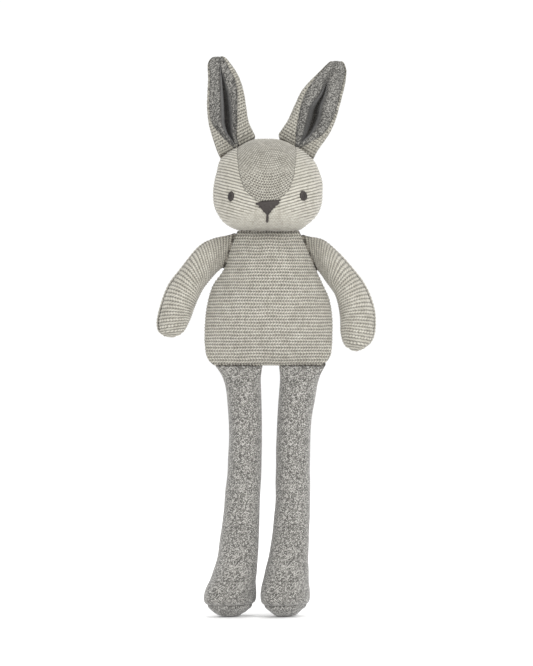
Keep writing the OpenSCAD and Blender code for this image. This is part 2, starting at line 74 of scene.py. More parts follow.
def along(rows, v):
    """Values part-way along a table of rows, on a smooth curve through them."""
    rows = np.asarray(rows, float)
    n = len(rows) - 1
    v = np.clip(np.asarray(v, float), 0, 1) * n
    i = np.minimum(np.floor(v).astype(int), n - 1)
    f = (v - i).reshape(v.shape + (1,) * (rows.ndim - 1))
    b, c = rows[i], rows[i + 1]
    first = (i == 0).reshape(f.shape)
    last = (i == n - 1).reshape(f.shape)
    a = np.where(first, 2 * b - c, rows[np.maximum(i - 1, 0)])
    d = np.where(last, 2 * c - b, rows[np.minimum(i + 2, n)])
    bend = (2 * a - 5 * b + 4 * c - d) + f * (3 * b - a - 3 * c + d)
    return b + 0.5 * f * ((c - a) + f * bend)


def spline_weights(f):
    """Weights of four neighbours, at a share f of the way between the middle two."""
    return (
        -0.5 * f + f * f - 0.5 * f ** 3,
        1 - 2.5 * f * f + 1.5 * f ** 3,
        0.5 * f + 2 * f * f - 1.5 * f ** 3,
        -0.5 * f * f + 0.5 * f ** 3,
    )


def sample(grid, v, u, wrap):
    """Smooth value of a grid at row v and column u, both counted in cells."""
    rows, cols = grid.shape[:2]
    v, u = np.broadcast_arrays(v, u)
    i = np.clip(np.floor(v).astype(int), 0, rows - 2)
    j = np.floor(u).astype(int)
    if not wrap:
        j = np.clip(j, 0, cols - 2)
    wv, wu = spline_weights(v - i), spline_weights(u - j)
    total = 0
    for a in range(4):
        ii = np.clip(i + a - 1, 0, rows - 1)
        for b in range(4):
            jj = (j + b - 1) % cols if wrap else np.clip(j + b - 1, 0, cols - 1)
            total = total + (wv[a] * wu[b])[..., None] * grid[ii, jj]
    return total


NOISE_GRID = RNG.uniform(-1, 1, (128, 128))


def noise(x, y):
    """Smooth noise from -1 to 1, one cell per unit."""
    x, y = np.broadcast_arrays(x, y)
    fx, fy = np.floor(x).astype(int), np.floor(y).astype(int)
    wx, wy = spline_weights(x - fx), spline_weights(y - fy)
    size = len(NOISE_GRID)
    total = 0
    for a in range(4):
        for b in range(4):
            value = NOISE_GRID[(fx + a - 1) % size, (fy + b - 1) % size]
            total = total + wx[a] * wy[b] * value
    return total


def smooth_step(x, a, b):
    """0 up to a, 1 from b on, level at both."""
    t = np.clip((x - a) / (b - a), 0, 1)
    return t * t * (3 - 2 * t)


def near(distance, width):
    """1 where the distance is nothing, fading away over width."""
    return np.exp(-((distance / width) ** 2))


def lens(phi, k):
    """Sine of phi, pressed towards a lens-shaped section by k: 0 leaves an ellipse."""
    s = np.sin(phi)
    return np.sign(s) * np.abs(s) ** (1 + k)


def new_object(name, data):
    ob = bpy.data.objects.new(name, data)
    bpy.context.scene.collection.objects.link(ob)
    return ob


# ---- Places of the seams, from the CAD ----

def middle(node):
    """Middle of a CAD node's box."""
    lo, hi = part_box(node)
    return (np.array(lo) + np.array(hi)) / 2 / MM


SIDES = {"left": 1, "right": -1}
NECK = middle("neck_stitch")
HIP, SHOULDER, EAR = (
    {side: middle(f"{seam}_{side}_stitch") for side in SIDES} for seam in ("hip", "shoulder", "ear")
)
HEM_Z = HIP["left"][2]
HEAD = NECK + np.array([-0.9, 0, 38.5])

# ---- Base shapes: each is a closed surface over v (0 to 1) and phi (one turn) ----

# Height above the hem, right edge, left edge, half depth, lens
TORSO_ROWS = np.array([
    [-0.4, -47.5, 51, 0.7, 0.2],
    [0.8, -49.6, 53.4, 4, 0.2],
    [4.5, -53, 57.2, 8.5, 0.3],
    [12, -55.3, 59.8, 14, 0.25],
    [25, -55.8, 60.2, 21.5, 0.2],
    [42, -54.8, 60, 27, 0.15],
    [58, -52.5, 57.6, 29.5, 0.2],
    [72, -47.9, 52, 28.5, 0.35],
    [87, -37.6, 45, 26, 0.6],
    [103, -32.6, 38.2, 20.5, 0.8],
    [114, -28.6, 33.4, 11.2, 0.9],
    [119.6, -26.2, 30.5, 3, 0.8],
    [120.9, -25.4, 29.7, 1, 0.6],
])


def torso(v, phi):
    r = along(TORSO_ROWS, v)
    z = HEM_Z + r[..., 0]
    mid, half = (r[..., 2] + r[..., 1]) / 2, (r[..., 2] - r[..., 1]) / 2
    v, phi = np.broadcast_arrays(v, phi)
    return np.stack([mid + half * np.cos(phi), r[..., 3] * lens(phi, r[..., 4]), z + 0 * phi], -1)


# Outer rail across and up, inner rail across and up, half depth, lens. Across and up are from
# the middle of the shoulder seam
ARM_ROWS = {
    "left": np.array([
        [-6.5, 16.1, 6.5, -16.1, 2.2, 1],
        [10, 12.5, 13, -25, 11, 0.5],
        [23, 2.5, 18.7, -32.5, 14.3, 0.15],
        [37.5, -13, 22.5, -38.5, 15.2, 0],
        [50, -30, 25.5, -48.5, 15.2, 0],
        [57.8, -50, 26.8, -59.5, 14.7, 0],
        [59, -68, 27.2, -72, 13.6, 0],
        [55.6, -80, 30.4, -82.8, 11, 0],
        [47.5, -87, 36, -87.3, 5, 0],
        [41.5, -89, 40.3, -89, 0.8, 0],
    ]),
    "right": np.array([
        [5.35, 15.75, -5.35, -15.75, 2.2, 1],
        [-14, 11.2, -14, -24, 11, 0.5],
        [-28.5, 2.3, -22.3, -34, 14.3, 0.15],
        [-43.5, -16, -26.8, -42.5, 15.2, 0],
        [-55.9, -34, -30.5, -51.3, 15.2, 0],
        [-63.3, -56.5, -34.7, -63, 14.7, 0],
        [-64, -70.5, -39.8, -72.5, 11, 0],
        [-58.5, -76.5, -47.5, -77.5, 5, 0],
        [-54, -78, -52.8, -78, 0.8, 0],
    ]),
}


def arm(side):
    rows = ARM_ROWS[side]
    mid_x, _, mid_z = SHOULDER[side]

    def surface(v, phi):
        r = along(rows, v)
        cx, cz = (r[..., 0] + r[..., 2]) / 2, (r[..., 1] + r[..., 3]) / 2
        hx, hz = (r[..., 0] - r[..., 2]) / 2, (r[..., 1] - r[..., 3]) / 2
        c = np.cos(phi)
        y = r[..., 4] * lens(phi, r[..., 5])
        return np.stack([mid_x + cx + hx * c, y, mid_z + cz + hz * c], -1)

    return surface


# Height above the floor, centre back, lens, then for the left and the right leg in turn: centre
# across from the hip, half width, half depth, share of the foot's turn
_LEGS = np.array([
    [HEM_Z - 0.3, 0, 0.5, 0, 20.8, 2.4, 0, 0, 21.6, 2.4, 0],
    [HEM_Z - 11, 0, 0.3, -2.4, 18, 10, 0, 2.7, 17.6, 10, 0],
    [HEM_Z - 26, 0, 0.1, -4.6, 16.6, 14.5, 0, 4.7, 15.8, 14.5, 0],
    [HEM_Z - 56, 0, 0, -7.8, 15.3, 15.5, 0, 6, 15, 15.5, 0],
    [HEM_Z - 88, 0, 0, -8.7, 15.3, 16, 0, 5.6, 15.3, 16, 0],
    [100, 0, 0, -9.1, 15.8, 16.3, 0, 2.9, 16.2, 16.5, 0],
    [60, 0, 0, -11.8, 17.5, 17.5, 0.2, -0.1, 18, 17.5, 0.2],
    [40, -1, 0, -14.3, 19.5, 21, 0.75, -3.5, 19.5, 21, 0.6],
    [25, -3, 0, -15.4, 19.8, 26, 1, -7, 19.8, 26, 0.95],
    [16, -4, 0, -15.4, 19.4, 28, 1, -7.9, 19, 28, 1],
    [10.5, -4, 0, -15.4, 17.2, 25.4, 1, -7.7, 16.8, 25.4, 1],
    [5.5, -4, 0, -15.4, 12.8, 19.4, 1, -7.7, 12.6, 19.4, 1],
    [2, -4, 0, -15.4, 8.8, 13.4, 1, -7.7, 8.6, 13.4, 1],
    [0.3, -4, 0, -15.4, 4.6, 6.9, 1, -7.7, 4.6, 6.9, 1],
])
LEG_ROWS = {"left": _LEGS[:, :7], "right": _LEGS[:, [0, 1, 2, 7, 8, 9, 10]]}
SOLE_ROW = 10
LOWEST = 0.3
TOE_TURN = {"left": math.radians(33), "right": math.radians(42)}


def leg(side):
    rows = LEG_ROWS[side]

    def surface(v, phi):
        height, back, flat, across, wide, deep, share = np.moveaxis(along(rows, v), -1, 0)
        x, y = wide * np.cos(phi), deep * lens(phi, np.maximum(flat, 0))
        c, s = np.cos(-TOE_TURN[side] * share), np.sin(-TOE_TURN[side] * share)
        z = np.maximum(height, LOWEST) + 0 * x
        return np.stack([HIP[side][0] + across + x * c - y * s, back + x * s + y * c, z], -1)

    return surface


# Outline of the head seen from the front, round its centre: across and up
HEAD_OUTLINE = np.array([
    [49.3, -4.3], [49.6, 3.8], [46.4, 14.6], [41.8, 24.4], [35, 31.5], [24, 38], [10.4, 43.6],
    [-1.35, 44.1], [-12.2, 43.8], [-25, 37.4], [-36, 31.8], [-43, 25.4], [-45.5, 14.6],
    [-48, 3.8], [-48.8, -4.3], [-48.4, -12.4], [-47.3, -17.8], [-44.8, -23.2], [-41.4, -28.6],
    [-35, -34], [-26.6, -38.4], [-14, -39.4], [0, -39.6], [14, -39.5], [30, -37.8], [34, -34],
    [40.6, -28.6], [45.3, -23.2], [47.6, -17.8], [49.1, -12.4],
])
HEAD_TURNS = np.linspace(0, TAU, 360, endpoint=False)
HEAD_DEPTH = 44.0
HEAD_POWER = 2.25  # 2 is an ellipse, more is squarer
UNDERSIDE = 41.6
UNDERSIDE_SLOPE = {"front": 0.325, "back": 0.42}
CORNER = 16.0  # sharpness of the edge round the underside


def smooth_radius(outline, half=9, spread=3.2):
    """Distance of an outline from its centre at each of HEAD_TURNS, smoothed over neighbours."""
    turns = np.unwrap(np.arctan2(outline[:, 1], outline[:, 0]))
    reach = np.hypot(outline[:, 0], outline[:, 1])
    radial = np.interp(HEAD_TURNS, turns, reach, period=TAU)
    kernel = near(np.arange(-half, half + 1), spread)
    kernel /= kernel.sum()
    return np.convolve(np.concatenate([radial[-half:], radial, radial[:half]]), kernel, "valid")


HEAD_RADIUS = smooth_radius(HEAD_OUTLINE)


def head_dir(theta, psi):
    theta, psi = np.broadcast_arrays(theta, psi)
    forward = np.cos(psi)
    return np.stack([np.sin(psi), -forward * np.cos(theta), forward * np.sin(theta)], -1)


def head_reach(d):
    """Distance from the centre of the head to its surface in the directions d."""
    flat, deep = np.hypot(d[..., 0], d[..., 2]), np.abs(d[..., 1])
    turn = np.arctan2(d[..., 2], d[..., 0]) % TAU
    rim = np.interp(turn, np.append(HEAD_TURNS, TAU), np.append(HEAD_RADIUS, HEAD_RADIUS[0]))
    full = ((flat / rim) ** HEAD_POWER + (deep / HEAD_DEPTH) ** HEAD_POWER) ** (-1 / HEAD_POWER)
    slope = np.where(d[..., 1] > 0, UNDERSIDE_SLOPE["back"], UNDERSIDE_SLOPE["front"])
    tilt = deep * slope - d[..., 2]
    dent = 1.3 * near(HEAD_DEPTH * d[..., 1] - 5, 4.5)
    under = np.where(tilt > 0.02, (UNDERSIDE - dent) / np.maximum(tilt, 0.02), 1e4)
    return (full ** -CORNER + under ** -CORNER) ** (-1 / CORNER)


def head(theta, psi):
    d = head_dir(theta, psi)
    return HEAD + d * head_reach(d)[..., None]


def head_grid(v, phi):
    """The head as a closed surface: v runs from its right side to its left side, phi round it."""
    return head(phi, (np.asarray(v) * 2 - 1) * math.pi / 2)


# ---- Cloth: every stuffed skin is blown up a little, held along its seams ----

# Surface, rows and columns of the cloth's mesh, and the most that it may move
SHAPES = {
    "torso": (torso, 26, 48, 4.2),
    "head": (head_grid, 30, 56, 2.6),
    "arm_left": (arm("left"), 24, 24, 1.9),
    "arm_right": (arm("right"), 24, 24, 1.9),
    "leg_left": (leg("left"), 50, 24, 1.8),
    "leg_right": (leg("right"), 50, 24, 1.8),
}
CLOTH_FRAMES = 20
CLOTH = {
    "quality": 6, "mass": 0.3, "vertex_group_mass": "held",
    "use_pressure": True, "uniform_pressure_force": 4,
    "tension_stiffness": 20, "compression_stiffness": 20,
    "shear_stiffness": 8, "bending_stiffness": 0.6,
}


def v_range(name):
    """The head's mesh stops short of its two poles; the others run from end to end."""
    return (0.02, 0.98) if name == "head" else (0, 1)


def coarse(name):
    surface, rows, cols, _ = SHAPES[name]
    v = np.linspace(*v_range(name), rows)[:, None]
    phi = np.arange(cols)[None, :] * TAU / cols
    return surface(v, phi)


def held(name, grid):
    """How firmly each point is held: 1 on the seams that are sewn to a neighbour."""
    rows, cols = grid.shape[:2]
    pin = np.zeros((rows, cols))
    if name == "torso":
        pin[0], pin[-1] = 1, 1
        pin[1], pin[-2] = 0.5, 0.5
        high = grid[:, 0, 2] > HEM_Z + 82
        pin[high, 0], pin[high, cols // 2] = 1, 1
    elif name == "head":
        low = grid[..., 2] < HEAD[2] - 35.5
        pin[low] = 1
        top = (grid[..., 2] > HEAD[2] + 24) & (np.abs(grid[..., 1]) < 7)
        pin[top] = 0.8
    else:
        pin[0], pin[1] = 1, 0.4
        if name.startswith("leg"):
            pin[grid[..., 2] < 4] = 1
    return pin


def closed_mesh(grid):
    """Points and outward faces of a grid that is closed round phi, and by a pole at each end."""
    rows, cols = grid.shape[:2]
    points = np.concatenate([grid.reshape(-1, 3), [grid[0].mean(0), grid[-1].mean(0)]])
    i = np.arange(rows * cols).reshape(rows, cols)
    j = np.roll(i, -1, axis=1)
    faces = np.stack([i[:-1], j[:-1], j[1:], i[1:]], -1).reshape(-1, 4).tolist()
    for c in range(cols):
        faces.append([rows * cols, int(j[0, c]), int(i[0, c])])
        faces.append([rows * cols + 1, int(i[-1, c]), int(j[-1, c])])
    a, b, e = points[faces[cols * rows // 2][:3]]
    if np.dot(np.cross(b - a, e - a), a - grid[rows // 2].mean(0)) <= 0:
        faces = [f[::-1] for f in faces]
    return points, faces


def simulate():
    """One cloth run for all the stuffed skins. Returns how far each coarse point moved."""
    co, faces, pins, starts, total = [], [], [], {}, 0
    for name in SHAPES:
        grid = coarse(name)
        points, polygons = closed_mesh(grid)
        poles = [1, 1 if name.startswith("leg") else 0]
        co.append(points)
        faces += [[k + total for k in f] for f in polygons]
        pins.append(np.concatenate([held(name, grid).ravel(), poles]))
        starts[name] = total
        total += len(points)
    points, weights = np.concatenate(co), np.concatenate(pins)
    mesh = bpy.data.meshes.new("sim")
    mesh.from_pydata((points * MM).tolist(), [], faces)
    mesh.update()
    ob = new_object("sim", mesh)
    group = ob.vertex_groups.new(name="held")
    for w in np.unique(weights):
        if w > 0:
            group.add(np.nonzero(weights == w)[0].tolist(), float(w), "REPLACE")
    cloth = ob.modifiers.new("Cloth", "CLOTH")
    for key, value in CLOTH.items():
        setattr(cloth.settings, key, value)
    cloth.settings.effector_weights.gravity = 0
    cloth.point_cache.frame_start, cloth.point_cache.frame_end = 1, CLOTH_FRAMES
    for f in range(1, CLOTH_FRAMES + 1):
        bpy.context.scene.frame_set(f)
    done = ob.evaluated_get(bpy.context.evaluated_depsgraph_get())
    out = np.empty(len(points) * 3)
    done.data.vertices.foreach_get("co", out)
    moves = out.reshape(-1, 3) / MM - points
    bpy.data.objects.remove(ob)
    bpy.data.meshes.remove(mesh)
    bpy.context.scene.frame_set(1)
    moved = {}
    for name, start in starts.items():
        _, rows, cols, cap = SHAPES[name]
        d = moves[start:start + rows * cols].reshape(rows, cols, 3)
        size = np.linalg.norm(d, axis=-1, keepdims=True) + 1e-9
        moved[name] = d / size * cap * np.tanh(size / cap)
        mean, most = (round(float(x), 2) for x in (size.mean(), size.max()))
        print("cloth", name, "mean move", mean, "most", most, "mm")
    return moved


MOVED = simulate()


def skin(name, v, phi):
    """A point of a stuffed skin: its base shape plus what the cloth run did to it."""
    surface, rows, cols, _ = SHAPES[name]
    base = surface(v, phi)
    if name not in MOVED:
        return base
    lo, hi = v_range(name)
    row = (np.clip(np.asarray(v, float), lo, hi) - lo) / (hi - lo) * (rows - 1)
    return base + sample(MOVED[name], row, (np.asarray(phi) % TAU) / TAU * cols, True)


# ---- Dense panels ----

def even(lengths, step):
    """Positions 0 to 1 spaced evenly by length, from the lengths of equal steps."""
    total = np.concatenate([[0], np.cumsum(lengths)])
    n = max(4, int(round(total[-1] / step)))
    return np.interp(np.linspace(0, total[-1], n + 1), total, np.linspace(0, 1, len(total)))


def gaps(p, axis):
    """Distances between the neighbours of a grid, from row to row (0) or column to column (1)."""
    return np.linalg.norm(np.diff(p, axis=axis), axis=-1)


def panel_grid(place, step):
    """Samples place(a, b), both 0 to 1, so that the cells are about step across both ways."""
    fine = np.linspace(0, 1, 161)
    few = np.linspace(0.06, 0.94, 9)
    a = even(gaps(place(fine[:, None], few[None, :]), 0).mean(1), step)[:, None]
    b = even(gaps(place(few[:, None], fine[None, :]), 1).max(0), step)[None, :]
    return a, b, place(a, b)


def turning(p):
    return np.cross(np.gradient(p, axis=0), np.gradient(p, axis=1))


def normals(p):
    n = turning(p)
    return n / (np.linalg.norm(n, axis=-1, keepdims=True) + 1e-12)


def outward(p, centre):
    """Unit normals of a grid, pointing away from centre."""
    n = normals(p)
    return n if np.mean(np.sum((p - centre) * n, -1)) > 0 else -n


def push(p, n, amount):
    return p + n * amount[..., None]


def arc(p, axis):
    """Length along a grid's rows or columns, from the first."""
    d = gaps(p, axis)
    pad = np.zeros_like(np.take(d, [0], axis=axis))
    return np.concatenate([pad, np.cumsum(d, axis=axis)], axis=axis)


def edge_distance(p, edges):
    """Distance to the nearest of the panel's sewn edges: any of first, last, left, right."""
    down, across = arc(p, 0), arc(p, 1)
    reach = {"first": down, "last": down[-1:] - down,
             "left": across, "right": across[:, -1:] - across}
    return np.minimum.reduce([reach[edge] for edge in edges])


def garter(u, v, amount):
    """Height of ridged knitting, 0 to 1: u counts stitches, v counts ridges. The stitches lean
    one way on a ridge and the other way on the next; amount is how much they show."""
    wobble = 0.10 * noise(u * 0.21, v * 0.33) + 0.05 * noise(u * 0.9 + 31, v * 0.8 + 7)
    vv = v + wobble
    uu = u + 0.4 * np.sin(np.pi * vv) + 0.10 * noise(u * 0.5, v * 0.5 + 50)
    ridge = (0.5 + 0.5 * np.cos(TAU * vv)) ** 0.7
    loop = 0.5 + 0.5 * np.cos(TAU * uu)
    flat = 0.22 * amount
    dips = 1 - 0.85 * amount * (1 - loop)
    uneven = 1 + 0.1 * noise(u * 0.6 + 11, v * 0.9 + 3)
    return (flat + (1 - flat) * ridge) * dips * uneven


def moss(u, v):
    """Height of bumpy, stippled knitting, 0 to 1."""
    cell = (0.5 + 0.5 * np.cos(TAU * (u + 0.5 * np.round(v)))) * (0.5 + 0.5 * np.cos(TAU * v))
    return cell * (1 + 0.3 * noise(u + 5, v + 9))


def jersey(u, v):
    """Height of fine flat knitting, which hardly shows: u and v count its specks."""
    return 0.75 + 0.25 * noise(u * 0.7 + 3, v * 0.7 + 8)


def grid_faces(rows, cols, base=0):
    i = base + np.arange(rows * cols).reshape(rows, cols)
    return np.stack([i[:-1, :-1], i[:-1, 1:], i[1:, 1:], i[1:, :-1]], -1).reshape(-1, 4)


def new_mesh(name, co, faces, uv, values):
    """A smooth mesh object. uv, and each of the named values, has an entry for every point."""
    mesh = bpy.data.meshes.new(name)
    mesh.from_pydata(co * MM, [], faces)
    layer = mesh.uv_layers.new(name="UVMap")
    layer.data.foreach_set("uv", uv[faces.ravel()].astype(np.float32).ravel())
    for key, value in values.items():
        attribute = mesh.attributes.new(key, "FLOAT", "POINT")
        attribute.data.foreach_set("value", value.astype(np.float32).ravel())
    mesh.polygons.foreach_set("use_smooth", np.ones(len(faces), bool))
    mesh.update()
    return new_object(name, mesh)


def mesh_piece(name, p, n, u, v, height, shade):
    """Makes a mesh from a grid and its outward normals. u, v are its knitting coordinates;
    height and shade are stored on it, and its material paints shade from both."""
    faces = grid_faces(*p.shape[:2])
    if np.mean(np.sum(n * turning(p), -1)) > 0:
        faces = faces[:, ::-1]
    u, v, height, shade = (np.broadcast_to(x, p.shape[:2]) for x in (u, v, height, shade))
    uv = np.stack([u.ravel(), v.ravel()], -1)
    return new_mesh(name, p.reshape(-1, 3), faces, uv, {"cav": height, "shade": shade})


def sewn(p, n, far, depth, width, tuck, share=1.0):
    """Sinks a panel beside its seams and tucks its very edge under. share weakens a seam that
    is pulled flat."""
    sink = depth * near(far, width) + tuck * np.clip(1 - far / 0.5, 0, 1)
    return p - n * (sink * share)[..., None]


def add_root(root, p, n, *grids):
    """Adds a row at the start of a panel: at root for p, and as the first row for the rest."""
    rest = (n, *np.broadcast_arrays(*grids))
    return np.concatenate([root, p]), *(np.concatenate([x[:1], x]) for x in rest)


# ---- Materials ----

class Surface:
    """A material with one Principled shader, and short ways to add the nodes that feed it."""

    def __init__(self, name):
        self.material = bpy.data.materials.new(name)
        self.material.use_nodes = True
        self.tree = self.material.node_tree
        for node in list(self.tree.nodes):
            if node.type != "OUTPUT_MATERIAL":
                self.tree.nodes.remove(node)
        out = self.tree.nodes[0]
        self.shader = self.node("BsdfPrincipled")
        self.put(out.inputs[0], self.shader.outputs[0])

    def put(self, socket, value):
        """Gives a socket a number or a colour, or plugs in another node's output."""
        if isinstance(value, bpy.types.NodeSocket):
            self.tree.links.new(value, socket)
        else:
            socket.default_value = value

    def feed(self, node, inputs):
        for key, value in inputs.items():
            self.put(node.inputs[key], value)

    def node(self, kind, inputs=None, **settings):
        node = self.tree.nodes.new("ShaderNode" + kind)
        for key, value in settings.items():
            setattr(node, key, value)
        self.feed(node, inputs or {})
        return node

    def math(self, operation, a, b):
        return self.node("Math", {0: a, 1: b}, operation=operation).outputs[0]

    def plus(self, a, b):
        return self.math("ADD", a, b)

    def times(self, a, b):
        return self.math("MULTIPLY", a, b)

    def uv(self):
        return self.node("UVMap").outputs[0]

    def stretched(self, uv, x, y):
        return self.node("Mapping", {0: uv, "Scale": (x, y, 1)}).outputs[0]

    def noise(self, place, scale, detail=2.0, rough=0.6):
        inputs = {"Vector": place, "Scale": scale, "Detail": detail, "Roughness": rough}
        return self.node("TexNoise", inputs).outputs["Fac"]

    def cell_tone(self, uv):
        """A random tone for each whole unit of the knitting coordinates."""
        cell = self.node("VectorMath", {0: uv}, operation="FLOOR").outputs[0]
        return self.node("TexWhiteNoise", {"Vector": cell}).outputs["Value"]

    def ramp(self, value, stops):
        node = self.node("ValToRGB", {0: value})
        elements = node.color_ramp.elements
        while len(elements) < len(stops):
            elements.new(0.5)
        for element, (place, colour) in zip(elements, stops):
            element.position = place
            element.color = (*colour, 1)
        return node.outputs[0]

    def value(self, name):
        """A value of the mesh's own points."""
        return self.node("Attribute", attribute_name=name).outputs["Fac"]

    def darkened(self, colour, value, stops):
        """A colour multiplied by a ramp over one of the mesh's values."""
        inputs = {0: 1.0, 6: colour, 7: self.ramp(value, stops)}
        return self.node("Mix", inputs, data_type="RGBA", blend_type="MULTIPLY").outputs[2]

    def finish(self, colour, rough, bump, strength, distance, sockets):
        """Plugs in colour, roughness and bump, and sets the shader's other sockets."""
        inputs = {"Height": bump, "Strength": strength, "Distance": distance}
        normal = self.node("Bump", inputs).outputs[0]
        self.feed(self.shader, {"Base Color": colour, "Roughness": rough, "Normal": normal})
        self.feed(self.shader, sockets)
        return self.material


def grey(x):
    return x, x, x


def linear(r, g, b, k=1.0):
    """Linear colour of a screen colour, made k times as light."""
    def one(x):
        x = x / 255
        return (x / 12.92 if x <= 0.04045 else ((x + 0.055) / 1.055) ** 2.4) * k
    return one(r), one(g), one(b)


def knit_material(name, k, valley_shade):
    """Marled oatmeal yarn, k times as light: each stitch has its own tone, fibres fleck it, and
    painted shade darkens the valleys between ridges, down to the valley shade given."""
    m = Surface(name)
    uv = m.uv()
    fibres = m.noise(m.stretched(uv, 1.0, 2.2), 4.0, 3.0, 0.65)
    patches = m.noise(m.stretched(uv, 0.5, 0.5), 0.35, 2.0, 0.5)
    tone = m.plus(m.times(m.cell_tone(uv), 0.14), m.times(fibres, 0.86))
    tone = m.plus(tone, m.times(m.math("SUBTRACT", patches, 0.5), 0.06))
    yarn = ((0.25, (146, 141, 128)), (0.5, (196, 192, 180)), (0.78, (232, 229, 218)))
    colour = m.ramp(tone, [(place, linear(*rgb, k)) for place, rgb in yarn])
    # Painted shade in the valleys between the ridges, from the knitting's height
    stops = [(0.0, grey(valley_shade)), (0.4, grey(0.66)), (0.8, grey(1.0))]
    colour = m.darkened(colour, m.value("cav"), stops)
    # Painted shade at seams, creases, hollows and under overlapping parts, from the mesh's shade
    # value
    stops = [(0.0, grey(1)), (1.0, (0.34, 0.32, 0.30))]
    colour = m.darkened(colour, m.value("shade"), stops)
    wave = {"Vector": m.stretched(uv, 3.0, 2.0), "Scale": 0.7, "Distortion": 3.0}
    twist = m.node("TexWave", wave, bands_direction="DIAGONAL").outputs["Fac"]
    rough = m.plus(m.times(fibres, 0.2), 0.78)
    return m.finish(colour, rough, m.plus(m.times(twist, 0.35), fibres), 0.35, 0.0006, {
        "Specular IOR Level": 0.12, "Sheen Weight": 0.35, "Sheen Roughness": 0.5,
        "Sheen Tint": (1.0, 0.97, 0.92, 1),
    })


def heather_material(name, dark, mid, light):
    """Fine grey jersey spun from dark and light fibres: each speck has its own tone."""
    m = Surface(name)
    uv = m.uv()
    flecks = m.noise(m.stretched(uv, 0.9, 1.1), 1.9)
    rows = m.node("TexChecker", {"Vector": uv, "Scale": 1}).outputs["Fac"]
    tone = m.plus(m.times(m.cell_tone(uv), 0.62), m.times(flecks, 0.22))
    tone = m.plus(tone, m.times(rows, 0.16))
    stops = [(0.16, linear(*dark)), (0.5, linear(*mid)), (0.84, linear(*light))]
    height = m.value("cav")
    # Painted shade on the lower specks, from their height
    colour = m.darkened(m.ramp(tone, stops), height, [(0.0, grey(0.82)), (0.6, grey(1.0))])
    # Painted shade at seams, under the hem and in the ear's hollow, from the mesh's shade value
    stops = [(0.0, grey(1)), (1.0, (0.14, 0.13, 0.12))]
    colour = m.darkened(colour, m.value("shade"), stops)
    rough = m.plus(m.times(flecks, 0.2), 0.78)
    return m.finish(colour, rough, m.plus(flecks, m.times(height, 0.5)), 0.15, 0.0004, {
        "Specular IOR Level": 0.1, "Sheen Weight": 0.3, "Sheen Roughness": 0.55,
    })


def thread_material(name, dark, light, sheen):
    """Smooth embroidery or sewing thread, laid side by side."""
    m = Surface(name)
    strands = m.noise(m.stretched(m.uv(), 1.0, 6.0), 1.7)
    colour = m.ramp(strands, [(0.3, linear(*dark)), (0.7, linear(*light))])
    # Painted shade in the grooves between strands, from their height
    colour = m.darkened(colour, m.value("cav"), [(0.0, grey(0.5)), (0.7, grey(1.0))])
    rough = m.plus(m.times(strands, 0.25), 0.45)
    return m.finish(colour, rough, strands, 0.4, 0.0002, {
        "Specular IOR Level": 0.3, "Sheen Weight": sheen,
    })


OATMEAL = knit_material("oatmeal knit", 0.79, 0.05)
# The same oatmeal yarn set apart for the head's sides: its paler valleys are painted light
HEAD_KNIT_LIT = knit_material("head knit lit", 0.76, 0.2)
# The same oatmeal yarn made darker for the ears' outside, as painted shade
EAR_KNIT_SHADED = knit_material("ear knit shaded", 0.64, 0.03)
BROW = knit_material("brow knit", 0.74, 0.04)
GREY = heather_material("grey jersey", (50, 49, 46), (104, 102, 98), (170, 168, 163))
LINING = heather_material("grey lining", (42, 41, 39), (86, 85, 82), (148, 146, 141))
FACE = thread_material("face thread", (30, 26, 25), (72, 66, 63), sheen=0.05)
SEWING = thread_material("sewing thread", (34, 28, 23), (74, 64, 53), sheen=0.0)


def dress(ob, mat, slot, body, nodes):
    """Gives a piece its material, hides the CAD nodes it replaces and hangs it on the body it
    rides on; slot is not used.
    """
    ob.data.materials.append(mat)
    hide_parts(*nodes)
    if body:
        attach(ob, body)


def point(p):
    """A point in millimetres as the frame takes it, in metres."""
    return tuple(float(x) * MM for x in p)



# ---- Torso ----

# Distance from ridge to ridge of the knitting, and from stitch to stitch
RIDGE = {"torso": 2.8, "brow": 2.45, "head": 2.5, "chin": 2.6, "arm": 2.7, "ear": 2.6}
STITCH, HEAD_STITCH = 2.5, 2.35
SPECK = 0.8  # one tone of the grey cloth
KNIT_CELL, JERSEY_CELL, LINING_CELL = 0.62, 0.85, 0.7  # size of the mesh cells


def relief(p, n, height, amount):
    return push(p, n, (height - 0.5) * amount)


def make_torso(which):
    start = math.pi if which == "front" else 0
    _, _, p = panel_grid(lambda v, s: skin("torso", v, start + s * math.pi), KNIT_CELL)
    n = outward(p, middle("torso_filling"))
    across = arc(p, 1)
    u = (across - across[:, -1:] / 2) / STITCH
    v = (p[..., 2] - HEM_Z) / RIDGE["torso"]
    far = edge_distance(p, ["left", "right"])
    ends = edge_distance(p, ["first", "last"])
    shoulder = smooth_step(p[..., 2], HEM_Z + 78, HEM_Z + 88)
    h = garter(u, v, 0.9) * smooth_step(far, 0.1, 1.3)
    lump = 0.35 * noise(p[..., 0] / 19 + 3 * start, p[..., 2] / 17)
    p = push(p, n, lump * smooth_step(ends, 0, 8))
    p = relief(p, n, h, 1.0)
    p = sewn(p, n, far, 0.7, 1.5, 0.3, 1 - 0.9 * shoulder)
    # Painted shade along the side seams and at the neck and hem edges
    shade = np.clip(0.25 * near(far, 1.0) + 0.35 * near(ends, 1.4), 0, 1)
    ob = mesh_piece(f"torso_{which}_knit", p, n, u, v, h, shade)
    nodes = [f"torso_{which}"] + (["torso_filling"] if which == "front" else [])
    dress(ob, OATMEAL, "oatmeal_knit", "torso", nodes)


make_torso("front")
make_torso("back")

# ---- Head ----

# Round the head from its underside over the face, top and back, and sideways, in degrees
BROW_SEAM = np.array([
    [-84, 0], [-19, 0], [-17, 12], [-13, 17], [-5, 26], [6, 30], [15, 32], [48, 35],
    [90, 36], [135, 34], [180, 28], [225, 23], [262, 18], [274, 4], [276, 0],
])


